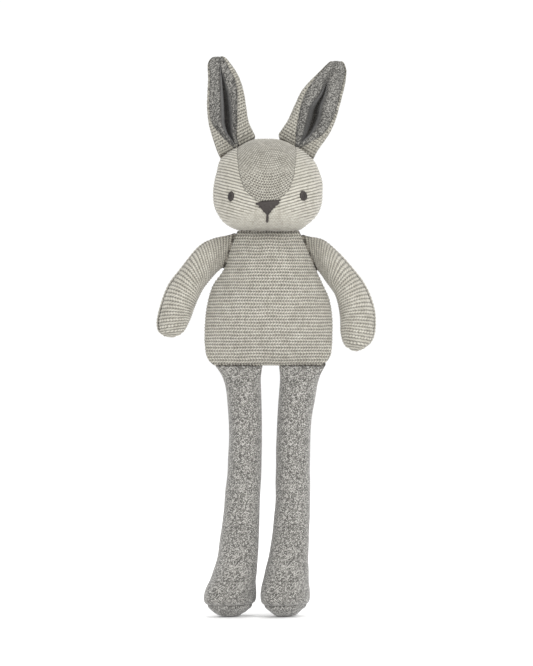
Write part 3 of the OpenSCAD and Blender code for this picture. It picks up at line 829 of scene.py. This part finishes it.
def brow_edge(theta, side):
    """Sideways angle of the brow seam on one side of the head: 1 is its left, -1 its right."""
    base = np.radians(np.interp(np.degrees(theta), BROW_SEAM[:, 0], BROW_SEAM[:, 1]))
    return base * (0.95 if side > 0 else 1.0)


def head_skin(theta, psi):
    theta, psi = np.broadcast_arrays(theta, psi)
    return skin("head", psi / math.pi + 0.5, theta)


def head_lumps(p):
    return 0.3 * noise(p[..., 0] / 15 + 40, p[..., 2] / 15 + 20)


def finish_head(part, p, n, u, v, h, depth, far, seam, extra_shade, mat, slot, nodes):
    """Lumps, relief, seams and painted shade of a head panel: depth is its relief, seam how much
    its edge is sunk and shaded, and the extra shade is more painted shade."""
    p = relief(push(p, n, head_lumps(p)), n, h, depth)
    p = sewn(p, n, far, 0.25, 0.8, 0.3, seam)
    # Painted shade along the seam, plus the extra painted shade
    shade = np.clip(0.02 * near(far, 0.7) * seam + extra_shade, 0, 1)
    ob = mesh_piece(f"{part}_knit", p, n, u, v, h, shade)
    dress(ob, mat, slot, None, nodes)
    lo = NECK + np.array([0, 0, 0.5])
    point(lo)
    point(lo + np.array([0, 0, 7.5]))
    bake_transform(ob)


def make_gusset():
    t0, t1 = math.radians(-17.5), math.radians(266)

    def place(a, s):
        theta = t0 + a * (t1 - t0)
        return head_skin(theta, s * brow_edge(theta, 1) - (1 - s) * brow_edge(theta, -1))

    a, _, p = panel_grid(place, KNIT_CELL)
    n = outward(p, HEAD)
    theta = t0 + a * (t1 - t0)
    x = p[..., 0] - HEAD[0]
    v = (46 * theta - x ** 2 / 44) / RIDGE["brow"]
    u = x / HEAD_STITCH
    far = edge_distance(p, ["left", "right", "first", "last"])
    low = smooth_step(-(p[..., 2] - HEAD[2]), -22, -8) * (p[..., 1] < 0)
    h = garter(u, v, 1.0) * low + (0.15 + 0.85 * moss(u * 1.2, v * 1.1)) * (1 - low)
    h = np.clip(h * (0.5 + 0.5 * smooth_step(far, 0.0, 0.7)), 0, 1.2)
    finish_head("head_gusset", p, n, u, v, h, 0.8, far, 1.0, 0, BROW, "knit_brow",
                ["head_gusset"])


def make_side(which):
    k = SIDES[which]
    t0, t1 = math.radians(-84), math.radians(276)

    def place(a, s):
        theta = t0 + s * (t1 - t0)
        edge = brow_edge(theta, k)
        return head_skin(theta, k * (edge + (math.radians(89.6) - edge) * a))

    # The columns meet at the side of the head, so they are spaced along a ring near the seam
    run = place(np.linspace(0, 1, 161)[:, None], np.linspace(0, 1, 13)[None, :-1])
    ring = place(np.full((1, 1), 0.12), np.linspace(0, 1, 721)[None, :])
    a = even(gaps(run, 0).mean(1), KNIT_CELL)[:, None]
    b = even(gaps(ring, 1)[0], KNIT_CELL * 1.05)[None, :]
    p = place(a, b)
    n = outward(p, HEAD)
    x, y, z = p[..., 0] - HEAD[0], p[..., 1], p[..., 2] - HEAD[2]
    level = z - 0.30 * np.abs(x) + 6
    v = 50 * np.arcsin(np.clip(level / 56, -0.98, 0.98)) / RIDGE["head"]
    u = 47 * np.arctan2(np.abs(x), -y) / HEAD_STITCH
    far = edge_distance(p, ["first"])
    chin = smooth_step(-z - 0.35 * np.abs(x), 14, 22)
    seam = smooth_step(t0 + b * (t1 - t0), math.radians(-21), math.radians(-16)) + 0 * far
    raised = np.maximum(0.5 + 0.5 * smooth_step(far, 0.0, 0.7), 1 - seam)
    stipple = 0.45 + 0.55 * moss(x / STITCH, (z - 0.5 * y) / RIDGE["chin"])
    h = (garter(u, v, 0.25) * (1 - chin) + stipple * chin) * raised
    below = smooth_step(-z, 10, 24)
    u = u + (np.abs(x) / HEAD_STITCH - u) * below
    v = v - 0.6 * y / RIDGE["head"] * below
    # Painted shade along the bottom edge of the head's side, where it meets the neck
    extra_shade = 0.3 * near(np.maximum(z + 37.5, 0), 1.6)
    nodes = [f"head_side_{which}"] + (["head_filling"] if which == "left" else [])
    finish_head(f"head_side_{which}", p, n, u, v, h, 0.75, far, seam, extra_shade, HEAD_KNIT_LIT,
                "oatmeal_knit", nodes)


make_gusset()
make_side("left")
make_side("right")

# ---- Face: satin stitches that follow the stuffed head ----


def face_points():
    """Points over the front of the stuffed head."""
    theta = np.radians(np.linspace(-60, 25, 150))[:, None]
    psi = np.radians(np.linspace(-66, 66, 220))[None, :]
    p = head_skin(theta, psi)
    return push(p, outward(p, HEAD), head_lumps(p)).reshape(-1, 3)


FACE_POINTS = face_points()


def face_y(x, z):
    """Depth of the front of the head at points across and up from its centre."""
    x, z = np.broadcast_arrays(x, z)
    out = np.empty(x.shape)
    for i in np.ndindex(x.shape):
        d = (FACE_POINTS[:, 0] - HEAD[0] - x[i]) ** 2 + (FACE_POINTS[:, 2] - HEAD[2] - z[i]) ** 2
        nearest = np.argpartition(d, 6)[:6]
        w = 1 / (d[nearest] + 0.05)
        out[i] = (w * FACE_POINTS[nearest, 1]).sum() / w.sum()
    return out


def satin(name, x, z, lift, across, node, rim):
    """A patch of side-by-side stitches over the face: x, z are its points, lift its padding,
    across its stitch count, and rim falls to 0 at its edge."""
    p = np.stack([HEAD[0] + x, face_y(x, z), HEAD[2] + z], -1)
    n = outward(p, HEAD)
    strand = 0.5 + 0.5 * np.cos(TAU * across)
    p = push(p, n, lift + 0.16 * strand * rim)
    ob = mesh_piece(name, p, n, across, np.linspace(0, 8, x.shape[1])[None, :], strand, 0)
    dress(ob, FACE, "face_thread", "head", [node])


def make_eye(side, cx, cz, wide, tall, tilt):
    """An eye with its middle across and up from the centre of the head, tilted in radians."""
    r = np.linspace(0, 1, 22)[:, None]
    t = np.linspace(0, TAU, 97)[None, :]
    ragged = 1 + 0.035 * np.sin(t * 13 + cx) + 0.03 * np.sin(t * 29)
    ex, ez = wide / 2 * r * np.cos(t) * ragged, tall / 2 * r * np.sin(t) * ragged
    x = cx + ex * math.cos(tilt) - ez * math.sin(tilt)
    z = cz + ex * math.sin(tilt) + ez * math.cos(tilt)
    rim = np.sqrt(np.clip(1 - r ** 2, 0, 1)) + 0 * t
    lift = 0.55 + 1.15 * rim - 1.5 * np.clip((r - 0.93) / 0.07, 0, 1)
    satin(f"eye_{side}_thread", x, z, lift, ez / 0.62 + ex * 0.25, f"eye_{side}", rim)


make_eye("left", 31.8, -8.3, 6.5, 9.2, 0.12)
make_eye("right", -32.2, -8.6, 5.4, 9.2, -0.08)


def make_nose():
    """A triangle between two upper corners and a tip: w runs down it, s across it."""
    w = np.linspace(0, 1, 46)[:, None]
    s = np.linspace(-1, 1, 60)[None, :]
    left, right, tip = np.array([-11.0, -14.5]), np.array([12.9, -11.8]), np.array([0.1, -25.2])
    mid = (left + right) / 2
    width = (1 - w) ** 0.93
    jag = 1 + 0.13 * noise(w * 14 + 3, s * 0 + 2 * np.sign(s)) * (np.abs(s) > 0.3)
    x = mid[0] + (tip[0] - mid[0]) * w + s * (right[0] - left[0]) / 2 * width * jag
    z = mid[1] + (tip[1] - mid[1]) * w + s * (right[1] - left[1]) / 2 * width
    z = z + 0.3 * (1 - w) * (1 - s ** 2)
    rim = np.clip(1 - s ** 4, 0, 1) ** 0.5 * np.clip(w * 9, 0, 1) ** 0.5
    rim = rim * np.clip((1 - w) * 9 + 0.15, 0, 1) ** 0.5
    lift = 0.35 + 1.25 * rim - 0.8 * (1 - np.clip(rim * 4, 0, 1))
    satin("nose_thread", x, z, lift, w * 17 + 0 * s, "nose", rim)


make_nose()


def tube(path, radius, sides=8):
    """Grid of a thread along a path, drawn in to a point at both ends."""
    run = np.gradient(path, axis=0)
    run /= np.linalg.norm(run, axis=1, keepdims=True) + 1e-12
    side = np.cross(run, np.array([0, -1.0, 0.02]))
    side /= np.linalg.norm(side, axis=1, keepdims=True) + 1e-12
    top = np.cross(side, run)
    k = np.clip(np.linspace(0, 1, len(path)), 0.001, 0.999)
    r = radius * np.clip(np.sin(np.pi * k) * 2.2, 0.02, 1) ** 0.6
    t = np.linspace(0, TAU, sides + 1)[None, :, None]
    ring = np.cos(t) * side[:, None, :] + np.sin(t) * top[:, None, :]
    return path[:, None, :] + ring * r[:, None, None]


def thread_piece(name, paths, radius, body, mat, slot, node):
    """One object of several short stitches."""
    co, faces, uv, base = [], [], [], 0
    for k, path in enumerate(paths):
        grid = tube(path, radius)
        rows, cols = grid.shape[:2]
        u, v = np.meshgrid(np.linspace(0, 6, cols), np.linspace(0, 3, rows) + k * 3.7)
        co.append(grid.reshape(-1, 3))
        faces.append(grid_faces(rows, cols, base))
        uv.append(np.stack([v.ravel(), u.ravel()], -1))
        base += rows * cols
    co, faces, uv = (np.concatenate(x) for x in (co, faces, uv))
    ob = new_mesh(name, co, faces, uv, {"cav": np.full(len(co), 0.8)})
    dress(ob, mat, slot, body, [node])


def make_mouth():
    def on_face(x, z, lift):
        return np.stack([HEAD[0] + x, face_y(x, z) - lift, HEAD[2] + z], -1)

    z = np.linspace(-24.8, -31.4, 24)
    paths = []
    for dx in (-0.45, 0.4):
        x = 0.1 + dx * np.linspace(0.6, 1.1, 24) - 0.35 * np.linspace(0, 1, 24)
        paths.append(on_face(x, z, 0.55))
    paths.append(on_face(np.linspace(-1.1, 0.7, 9), np.full(9, -31.2), 0.6))
    thread_piece("mouth_thread", paths, 0.72, "head", FACE, "face_thread", "mouth_stitch")


make_mouth()

# ---- Arms ----

ARM_TURN = math.radians(24)  # the side seams of an arm lie this far round from its rails


def square_to(first, last):
    """Unit vector square to a seam in the front view. Its ends are given across and up."""
    run = np.array([last[0] - first[0], 0, last[1] - first[1]])
    run /= np.linalg.norm(run)
    return np.array([-run[2], 0, run[0]])


def make_arm(side, which):
    name, front = f"arm_{side}", which == "front"
    base = math.pi if front else 0

    def place(v, s):
        turn = -ARM_TURN * np.clip((v - 0.02) / 0.25, 0, 1)
        return skin(name, v * 0.985, base + turn + s * math.pi)

    _, _, p = panel_grid(place, KNIT_CELL)
    n = outward(p, p.mean(axis=1, keepdims=True) * np.array([1, 0, 1]))
    across, down = arc(p, 1), arc(p, 0).mean(1, keepdims=True)
    outer = across[:, -1:] - across if front else across
    lean, reach = (0.22, 30) if front else (0.30, 25)
    u = across / STITCH
    v = (down + lean * np.clip(outer, 0, reach)) / RIDGE["arm"]
    far = edge_distance(p, ["left", "right"])
    h = garter(u, v, 0.75) * smooth_step(far, 0.2, 1.2)
    p = push(p, n, 0.25 * noise(p[..., 0] / 12 + 60, p[..., 2] / 12 + base))
    p = relief(p, n, h, 0.85)
    p = sewn(p, n, far, 0.5, 1.0, 0.9, smooth_step(down, 0, 6) + 0 * far)
    # Painted shade along the side seams and at the shoulder seam, fading over 20 mm down the arm
    shade = 0.3 * near(far, 0.8) + 0.4 * near(down, 1.0) + 0.34 * near(down, 20)
    row = ARM_ROWS[side][0]
    out = square_to(row[0:2], row[2:4])
    out = out if out[0] * SIDES[side] > 0 else -out
    root = p[:1] * np.array([1, 0.2, 1]) - out * 2.4
    p, n, u, v, h, shade = add_root(root, p, n, u, v, h, np.clip(shade, 0, 1))
    ob = mesh_piece(f"{name}_{which}_knit", p, n, u, v, h, shade)
    nodes = [f"{name}_{which}"] + ([f"{name}_filling"] if front else [])
    dress(ob, OATMEAL, "oatmeal_knit", None, nodes)
    mid = SHOULDER[side]
    point(mid)
    point(mid + out * 13)
    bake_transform(ob)


for _side in SIDES:
    for _which in ("front", "back"):
        make_arm(_side, _which)

# ---- Legs ----

FLOOR_GAP = 0.05


def make_leg(side):
    name = f"leg_{side}"
    cut = SOLE_ROW / (len(LEG_ROWS[side]) - 1)
    for part, v0, v1 in (("tube", 0, cut), ("sole", cut, 1)):
        def place(v, s):
            return skin(name, v0 + v * (v1 - v0), s * TAU + math.pi / 2)

        _, _, p = panel_grid(place, JERSEY_CELL)
        n = outward(p, p.mean(axis=1, keepdims=True))
        across = arc(p, 1)
        if part == "tube":
            u, v = across / SPECK, p[..., 2] / SPECK
            far, back = edge_distance(p, ["last"]), edge_distance(p, ["left", "right"])
        else:
            n = n if n[-1, :, 2].mean() < 0 else -n
            u, v = p[..., 0] / SPECK, p[..., 1] / SPECK
            far = edge_distance(p, ["first"])
            back = far * 0 + 50
        h = jersey(u, v)
        p = push(p, n, 0.35 * noise(across / 13 + 9, p[..., 2] / 15 + HIP[side][0]))
        p = push(p, n, -(near(far, 1.5) + 0.6 * near(back, 1.0)))
        # Painted shade along the seams, and a painted shadow at the top of the leg under the hem
        top = arc(p, 0) if part == "tube" else back
        shade = 0.4 * near(far, 1.1) + 0.25 * near(back, 0.7) + 0.7 * near(top, 1.6)
        if part == "tube":
            root = p[:1] * np.array([1, 0.6, 1]) + np.array([0, 0, 2.5])
            p, n, u, v, h, shade = add_root(root, p, n, u, v, h, shade)
        else:
            hub = np.repeat(p[-1:].mean(1, keepdims=True), p.shape[1], 1)
            p, n = np.concatenate([p, hub]), np.concatenate([n, n[-1:]])
            p[..., 2] = np.maximum(p[..., 2], FLOOR_GAP)
            u, v, h, shade = (
                np.concatenate([x, 0 * x[-1:] + x[-1].mean()]) for x in (u, v, h, shade)
            )
        ob = mesh_piece(f"{name}_{part}_jersey", p, n, u, v, h, np.clip(shade, 0, 1))
        if part == "tube":
            dress(ob, GREY, "grey_jersey", None, [f"{name}_tube", f"{name}_filling"])
            hip = HIP[side]
            point(hip)
            point(hip + np.array([0, 0, -24]))
            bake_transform(ob)
        else:
            dress(ob, GREY, "grey_jersey", name, [f"{name}_sole"])


make_leg("left")
make_leg("right")

# ---- Ears: one folded leaf, lined on the inside ----

# Rows from the base seam to the tip. Each row holds, across and up from the middle of the base
# seam: right silhouette, edge of the flap folded over it, two sides of the hollow, edge of the
# other flap, left silhouette
EAR_LINES = {
    "left": np.array([
        [[-14.4, 6.3], [-0.5, 0.5], [1.3, -0.2], [2.7, -0.9], [3.6, -1.1], [14.9, -11.3]],
        [[-14.9, 10.4], [0, 5.4], [3.2, 4.1], [8.1, 4.5], [10.8, 2.7], [18.9, -3.6]],
        [[-11.7, 15.3], [0, 11.7], [5.9, 11.7], [15.3, 11.2], [24.8, 11.2], [28.8, 10.8]],
        [[-6.3, 23.9], [2, 24.3], [9, 24.3], [22.1, 23.4], [32.9, 23.9], [34.7, 23.9]],
        [[-0.9, 36], [4.3, 36], [12.2, 36], [24.7, 36], [37.4, 35.1], [37.8, 35.1]],
        [[5, 48.2], [8.6, 48.2], [20.7, 47.7], [28.2, 47.7], [40.5, 46.8], [40.9, 46.8]],
        [[11.3, 56.3], [13.5, 56.3], [24.3, 55.8], [29.7, 55.8], [42.8, 56.7], [43.2, 56.7]],
        [[18, 63], [18.5, 63], [27, 63], [32.4, 63], [43.7, 62.6], [43.9, 62.6]],
        [[23.4, 68.4], [23.7, 68.4], [30.6, 68.9], [35.1, 69.3], [44.1, 68], [44.3, 68]],
        [[28.8, 73.8], [29.3, 74.1], [33.3, 74.9], [36.9, 75.3], [41.9, 74.3], [42.8, 73.8]],
        [[32.2, 76.3], [33, 76.5], [35, 76.7], [37.4, 76.7], [39.3, 76.4], [40, 76.1]],
    ]) + np.array([0, 2.6]),  # these rows were counted from 2.6 mm above the seam
    "right": np.array([
        [[-15.1, -8.1], [-1.6, 0], [-0.7, 0.5], [0.2, 0.9], [1.4, 1.5], [15.5, 8.1]],
        [[-18.3, 0.5], [-7.5, 5], [-6, 7.0], [-1.6, 7.7], [0.2, 7.7], [16, 10.8]],
        [[-22.3, 13.5], [-16, 13.5], [-11.2, 14.2], [-3.2, 14.4], [-0.4, 14.4], [13.7, 14.9]],
        [[-24.6, 22.5], [-22.8, 22.5], [-14.3, 22.5], [-3.6, 23.4], [0.2, 23.9], [9.7, 24.3]],
        [[-25.9, 36], [-25.5, 36], [-14.8, 36], [-4.6, 36.5], [0.4, 36.9], [7.6, 37.4]],
        [[-25.6, 49.5], [-25.2, 49.5], [-15.2, 49.5], [-6.6, 50], [0.3, 50.4], [5.4, 50.4]],
        [[-25, 62.1], [-24.7, 62.1], [-15.3, 62.1], [-10.2, 62.1], [-2, 62.1], [1.8, 62.1]],
        [[-25.4, 71.1], [-25, 71.1], [-15.6, 71.1], [-13.3, 71.1], [-6.7, 71.1], [-3.1, 71.1]],
        [[-25, 76.5], [-24.7, 76.5], [-16.2, 77], [-14.2, 77], [-9.3, 76.5], [-7, 76.5]],
        [[-22.3, 80.6], [-22, 80.8], [-17.4, 81.5], [-16, 81.7], [-12.9, 81.5], [-10.6, 80.7]],
        [[-19.6, 81.7], [-19, 81.9], [-17.8, 82], [-16.6, 82.1], [-15.6, 82], [-14.2, 82]],
    ]),
}
# Depth of the whole fold at each row, and of the hollow in it, as shares of the deepest. The
# hollow's depth also sets how dark its painted shade is
EAR_DEPTH = [0.10, 0.5, 0.85, 1.0, 1.0, 0.9, 0.75, 0.5, 0.32, 0.15, 0.03]
HOLLOW = {"left": [0.06, 0.5, 0.95, 1.0, 1.0, 0.75, 0.4, 0.22, 0.12, 0.05, 0],
          "right": [0.06, 0.5, 0.95, 1.0, 1.0, 1.0, 0.8, 0.5, 0.25, 0.08, 0]}


def ear_net(side):
    """Control points of the leaf's middle surface: 13 across, one row per line of the table."""
    net = []
    for row, d, hollow in zip(EAR_LINES[side], EAR_DEPTH, HOLLOW[side]):
        lo, flap, h1, h2, flap2, hi = row
        f1, f2 = (-1.2 - 0.5 * min(np.linalg.norm(q), 9) for q in (flap - lo, hi - flap2))
        if side == "right":
            places = [
                (lo, f1 * 0.55), (lo + (flap - lo) * 0.5 + (h1 - lo) * 0.06, -0.4),
                ((np.maximum(flap, lo) + h1) / 2, -1.2), (h1, -3.2),
                (h1 + (h2 - h1) * 0.3, 11 * hollow), (h1 + (h2 - h1) * 0.75, 8.5 * hollow),
                (h2, 2.2 * hollow), (h2 + (flap2 - h2) * 0.55, -0.6), (hi, f2 * 0.5),
            ]
        else:
            places = [
                (lo, f1 * 0.5), (lo + (flap - lo) * 0.5 + (h1 - lo) * 0.05, 0),
                ((flap + h1) / 2, 0.2), (h1, 1.4 * hollow),
                (h1 + (h2 - h1) * 0.4, 11 * hollow), (h1 + (h2 - h1) * 0.75, 9 * hollow),
                (h2, -0.6), (h2 + (flap2 - h2) * 0.6, -1.5), (hi, f2 * 0.55),
            ]
        places = [(flap, f1), ((flap + lo) / 2, f1 - 1), *places,
                  ((hi + flap2) / 2, f2 - 1), (flap2, f2)]
        net.append([[q[0], y * d, q[1]] for q, y in places])
    net = np.array(net)
    net[..., 0] += EAR[side][0]
    net[..., 2] += EAR[side][2]
    return net


def make_ear(side):
    net = ear_net(side)
    down_net, across_net = net.shape[0] - 1, net.shape[1] - 1
    row, root_mid = EAR_LINES[side][0], EAR[side]
    up = square_to(row[0], row[-1])
    up = up if up[2] > 0 else -up
    # Where the painted shade of the hollow ends, in columns of the net
    fold_end = 8.6 if side == "left" else 8.3

    def place(v, s):
        return sample(net, v * down_net, s * across_net, False)

    for layer, off, step, mat, slot in (
        ("outer", 0.75, KNIT_CELL, EAR_KNIT_SHADED, "oatmeal_knit"),
        ("inner", -0.55, LINING_CELL, LINING, "grey_lining"),
    ):
        a, b, p = panel_grid(place, step)
        n = normals(p)
        n = n if n[len(n) // 2, n.shape[1] // 2, 1] > 0 else -n
        across, down = arc(p, 1), arc(p, 0)
        far = edge_distance(p, ["left", "right", "last"])
        rim = np.clip(1 - far / 0.9, 0, 1) ** 2
        if layer == "outer":
            u, v = across / STITCH, np.sum((p - root_mid) * up, -1) / RIDGE["ear"]
            h = garter(u, v, 0.8) * smooth_step(far, 0, 1.0)
            lift = off * (1 - 0.9 * rim) + 0.45 * (h - 0.3)
            # Painted shade along the edges
            shade = 0.35 * near(far, 0.8)
        else:
            u, v = across / SPECK, down / SPECK
            h = jersey(u, v)
            lift = off * (1 - 0.8 * rim)
            # Painted shade along the edges and, darker, in the hollow of the fold, as strong as the
            # hollow is deep
            fold = smooth_step(b, 4.7 / across_net, 5.15 / across_net)
            fold = fold * (1 - smooth_step(b, 7.4 / across_net, fold_end / across_net))
            deep = np.interp(a * down_net, np.arange(down_net + 1), HOLLOW[side])
            shade = 0.3 * near(far, 0.8) + 0.92 * fold * np.clip(1.6 * deep, 0, 1)
        p = push(p, n, lift)
        # Painted shade at the base, where the ear meets the head
        shade = np.clip(shade + 0.5 * near(down, 2.0), 0, 1)
        p, n, u, v, h, shade = add_root(p[:1] - up * 2.6, p, n, u, v, h, shade)
        n = n if layer == "outer" else -n
        ob = mesh_piece(f"ear_{side}_{layer}_cloth", p, n, u, v, h, shade)
        dress(ob, mat, slot, None, [f"ear_{side}_{layer}"])
        point(root_mid)
        point(root_mid + up * 10)
        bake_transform(ob)


make_ear("left")
make_ear("right")

# ---- Sewing along the limb seams ----


def stitches(a, b, depth, length, gap):
    """Running stitches from a to b on the front (negative depth) or the back of a seam."""
    total = np.linalg.norm(b - a)
    run = (b - a) / total
    count = int(total // (length + gap))
    first = (total - count * (length + gap) + gap) / 2
    t = np.linspace(0, 1, 9)
    paths = []
    for k in range(count):
        q = a + run * (first + k * (length + gap) + t * length)[:, None]
        q[:, 1] += depth + math.copysign(0.35, depth) * np.sin(np.pi * t)
        q[:, 2] += 0.25 * math.sin(k * 2.4)
        paths.append(q)
    return paths


def sew(seam, ends, depth, length, gap, radius, body):
    """Stitches on both faces of a seam, in place of its CAD node."""
    paths = stitches(*ends, -depth, length, gap) + stitches(*ends, depth, length, gap)
    thread_piece(f"{seam}_sewing", paths, radius, body, SEWING, "sewing_thread",
                 f"{seam}_stitch")


def level_seam(seam, z):
    """Ends of a level seam, from its CAD node's box."""
    lo, hi = (np.array(x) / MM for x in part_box(f"{seam}_stitch"))
    return np.array([lo[0], 0, z]), np.array([hi[0], 0, z])


def sloping_seam(mid, first, last):
    """Ends of a seam that are given across and up from its middle."""
    return [mid + np.array([q[0], 0, q[1]]) for q in (first, last)]


sew("neck", level_seam("neck", NECK[2]), 1.9, 2.6, 1.1, 0.4, "neck")
for _side in SIDES:
    _arm, _ear = ARM_ROWS[_side][0], EAR_LINES[_side][0]
    sew(f"shoulder_{_side}", sloping_seam(SHOULDER[_side], _arm[0:2], _arm[2:4]),
        1.5, 3.0, 0.8, 0.22, "torso")
    sew(f"hip_{_side}", level_seam(f"hip_{_side}", HEM_Z), 2.4, 2.4, 1.0, 0.35, "torso")
    sew(f"ear_{_side}", sloping_seam(EAR[_side], _ear[0], _ear[-1]),
        1.7, 2.6, 0.5, 0.45, "head")

# ---- Floor, light and camera ----

FLOOR_REACH = 30
CORNERS = ((-1, -1), (1, -1), (1, 1), (-1, 1))
floor_mesh = bpy.data.meshes.new("floor")
floor_mesh.from_pydata(
    [(x * FLOOR_REACH, y * FLOOR_REACH, CAD_BOX[0][2]) for x, y in CORNERS], [], [(0, 1, 2, 3)]
)
floor = new_object("floor", floor_mesh)
paper = Surface("floor")
paper.feed(paper.shader, {
    "Base Color": (0.99, 0.99, 0.99, 1), "Roughness": 0.7, "Specular IOR Level": 0.2,
})
floor_mesh.materials.append(paper.material)

world = bpy.data.worlds.new("studio")
world.use_nodes = True
background = world.node_tree.nodes["Background"]
background.inputs[0].default_value = (1, 1, 1, 1)
background.inputs[1].default_value = 1.04
bpy.context.scene.world = world
bpy.context.scene.view_settings.view_transform = "Standard"

# Name, place, point it is aimed at, diameter and power: metres and watts
LIGHTS = (
    ("key", (1.2, -1.5, 1.3), (0, 0, 0.25), 0.9, 20),
    ("fill", (-1.2, -1.3, 0.9), (0, 0, 0.25), 1.2, 6),
    ("low", (0.1, -1.6, 0.15), (0, 0, 0.34), 0.8, 9),
    ("top", (0, 0.5, 2.2), (0, 0, 0.2), 1.2, 6),
    ("back", (0.5, 1.8, 1.1), (0, 0, 0.25), 1.2, 9),
)


def area(name, place, target, size, power):
    data = bpy.data.lights.new(name, "AREA")
    data.shape = "DISK"
    data.size = size
    data.energy = power
    ob = new_object(name, data)
    ob.location = place
    ob.rotation_mode = "QUATERNION"
    ob.rotation_quaternion = (Vector(target) - Vector(place)).to_track_quat("-Z", "Y")


for _light in LIGHTS:
    area(*_light)

SENSOR = 36
DISTANCE = 3.0
HALF_VIEW = 0.2997  # half the photograph's height, at the object
cam_data = bpy.data.cameras.new("camera")
cam_data.sensor_width = SENSOR
cam_data.lens = SENSOR / 2 / (HALF_VIEW / DISTANCE)
cam_data.clip_start, cam_data.clip_end = 0.05, 50
camera = new_object("camera", cam_data)
camera.location = (0.0005, -DISTANCE, 0.2547)
camera.rotation_euler = (math.pi / 2, 0, 0)
bpy.context.scene.camera = camera

bpy.context.view_layer.update()
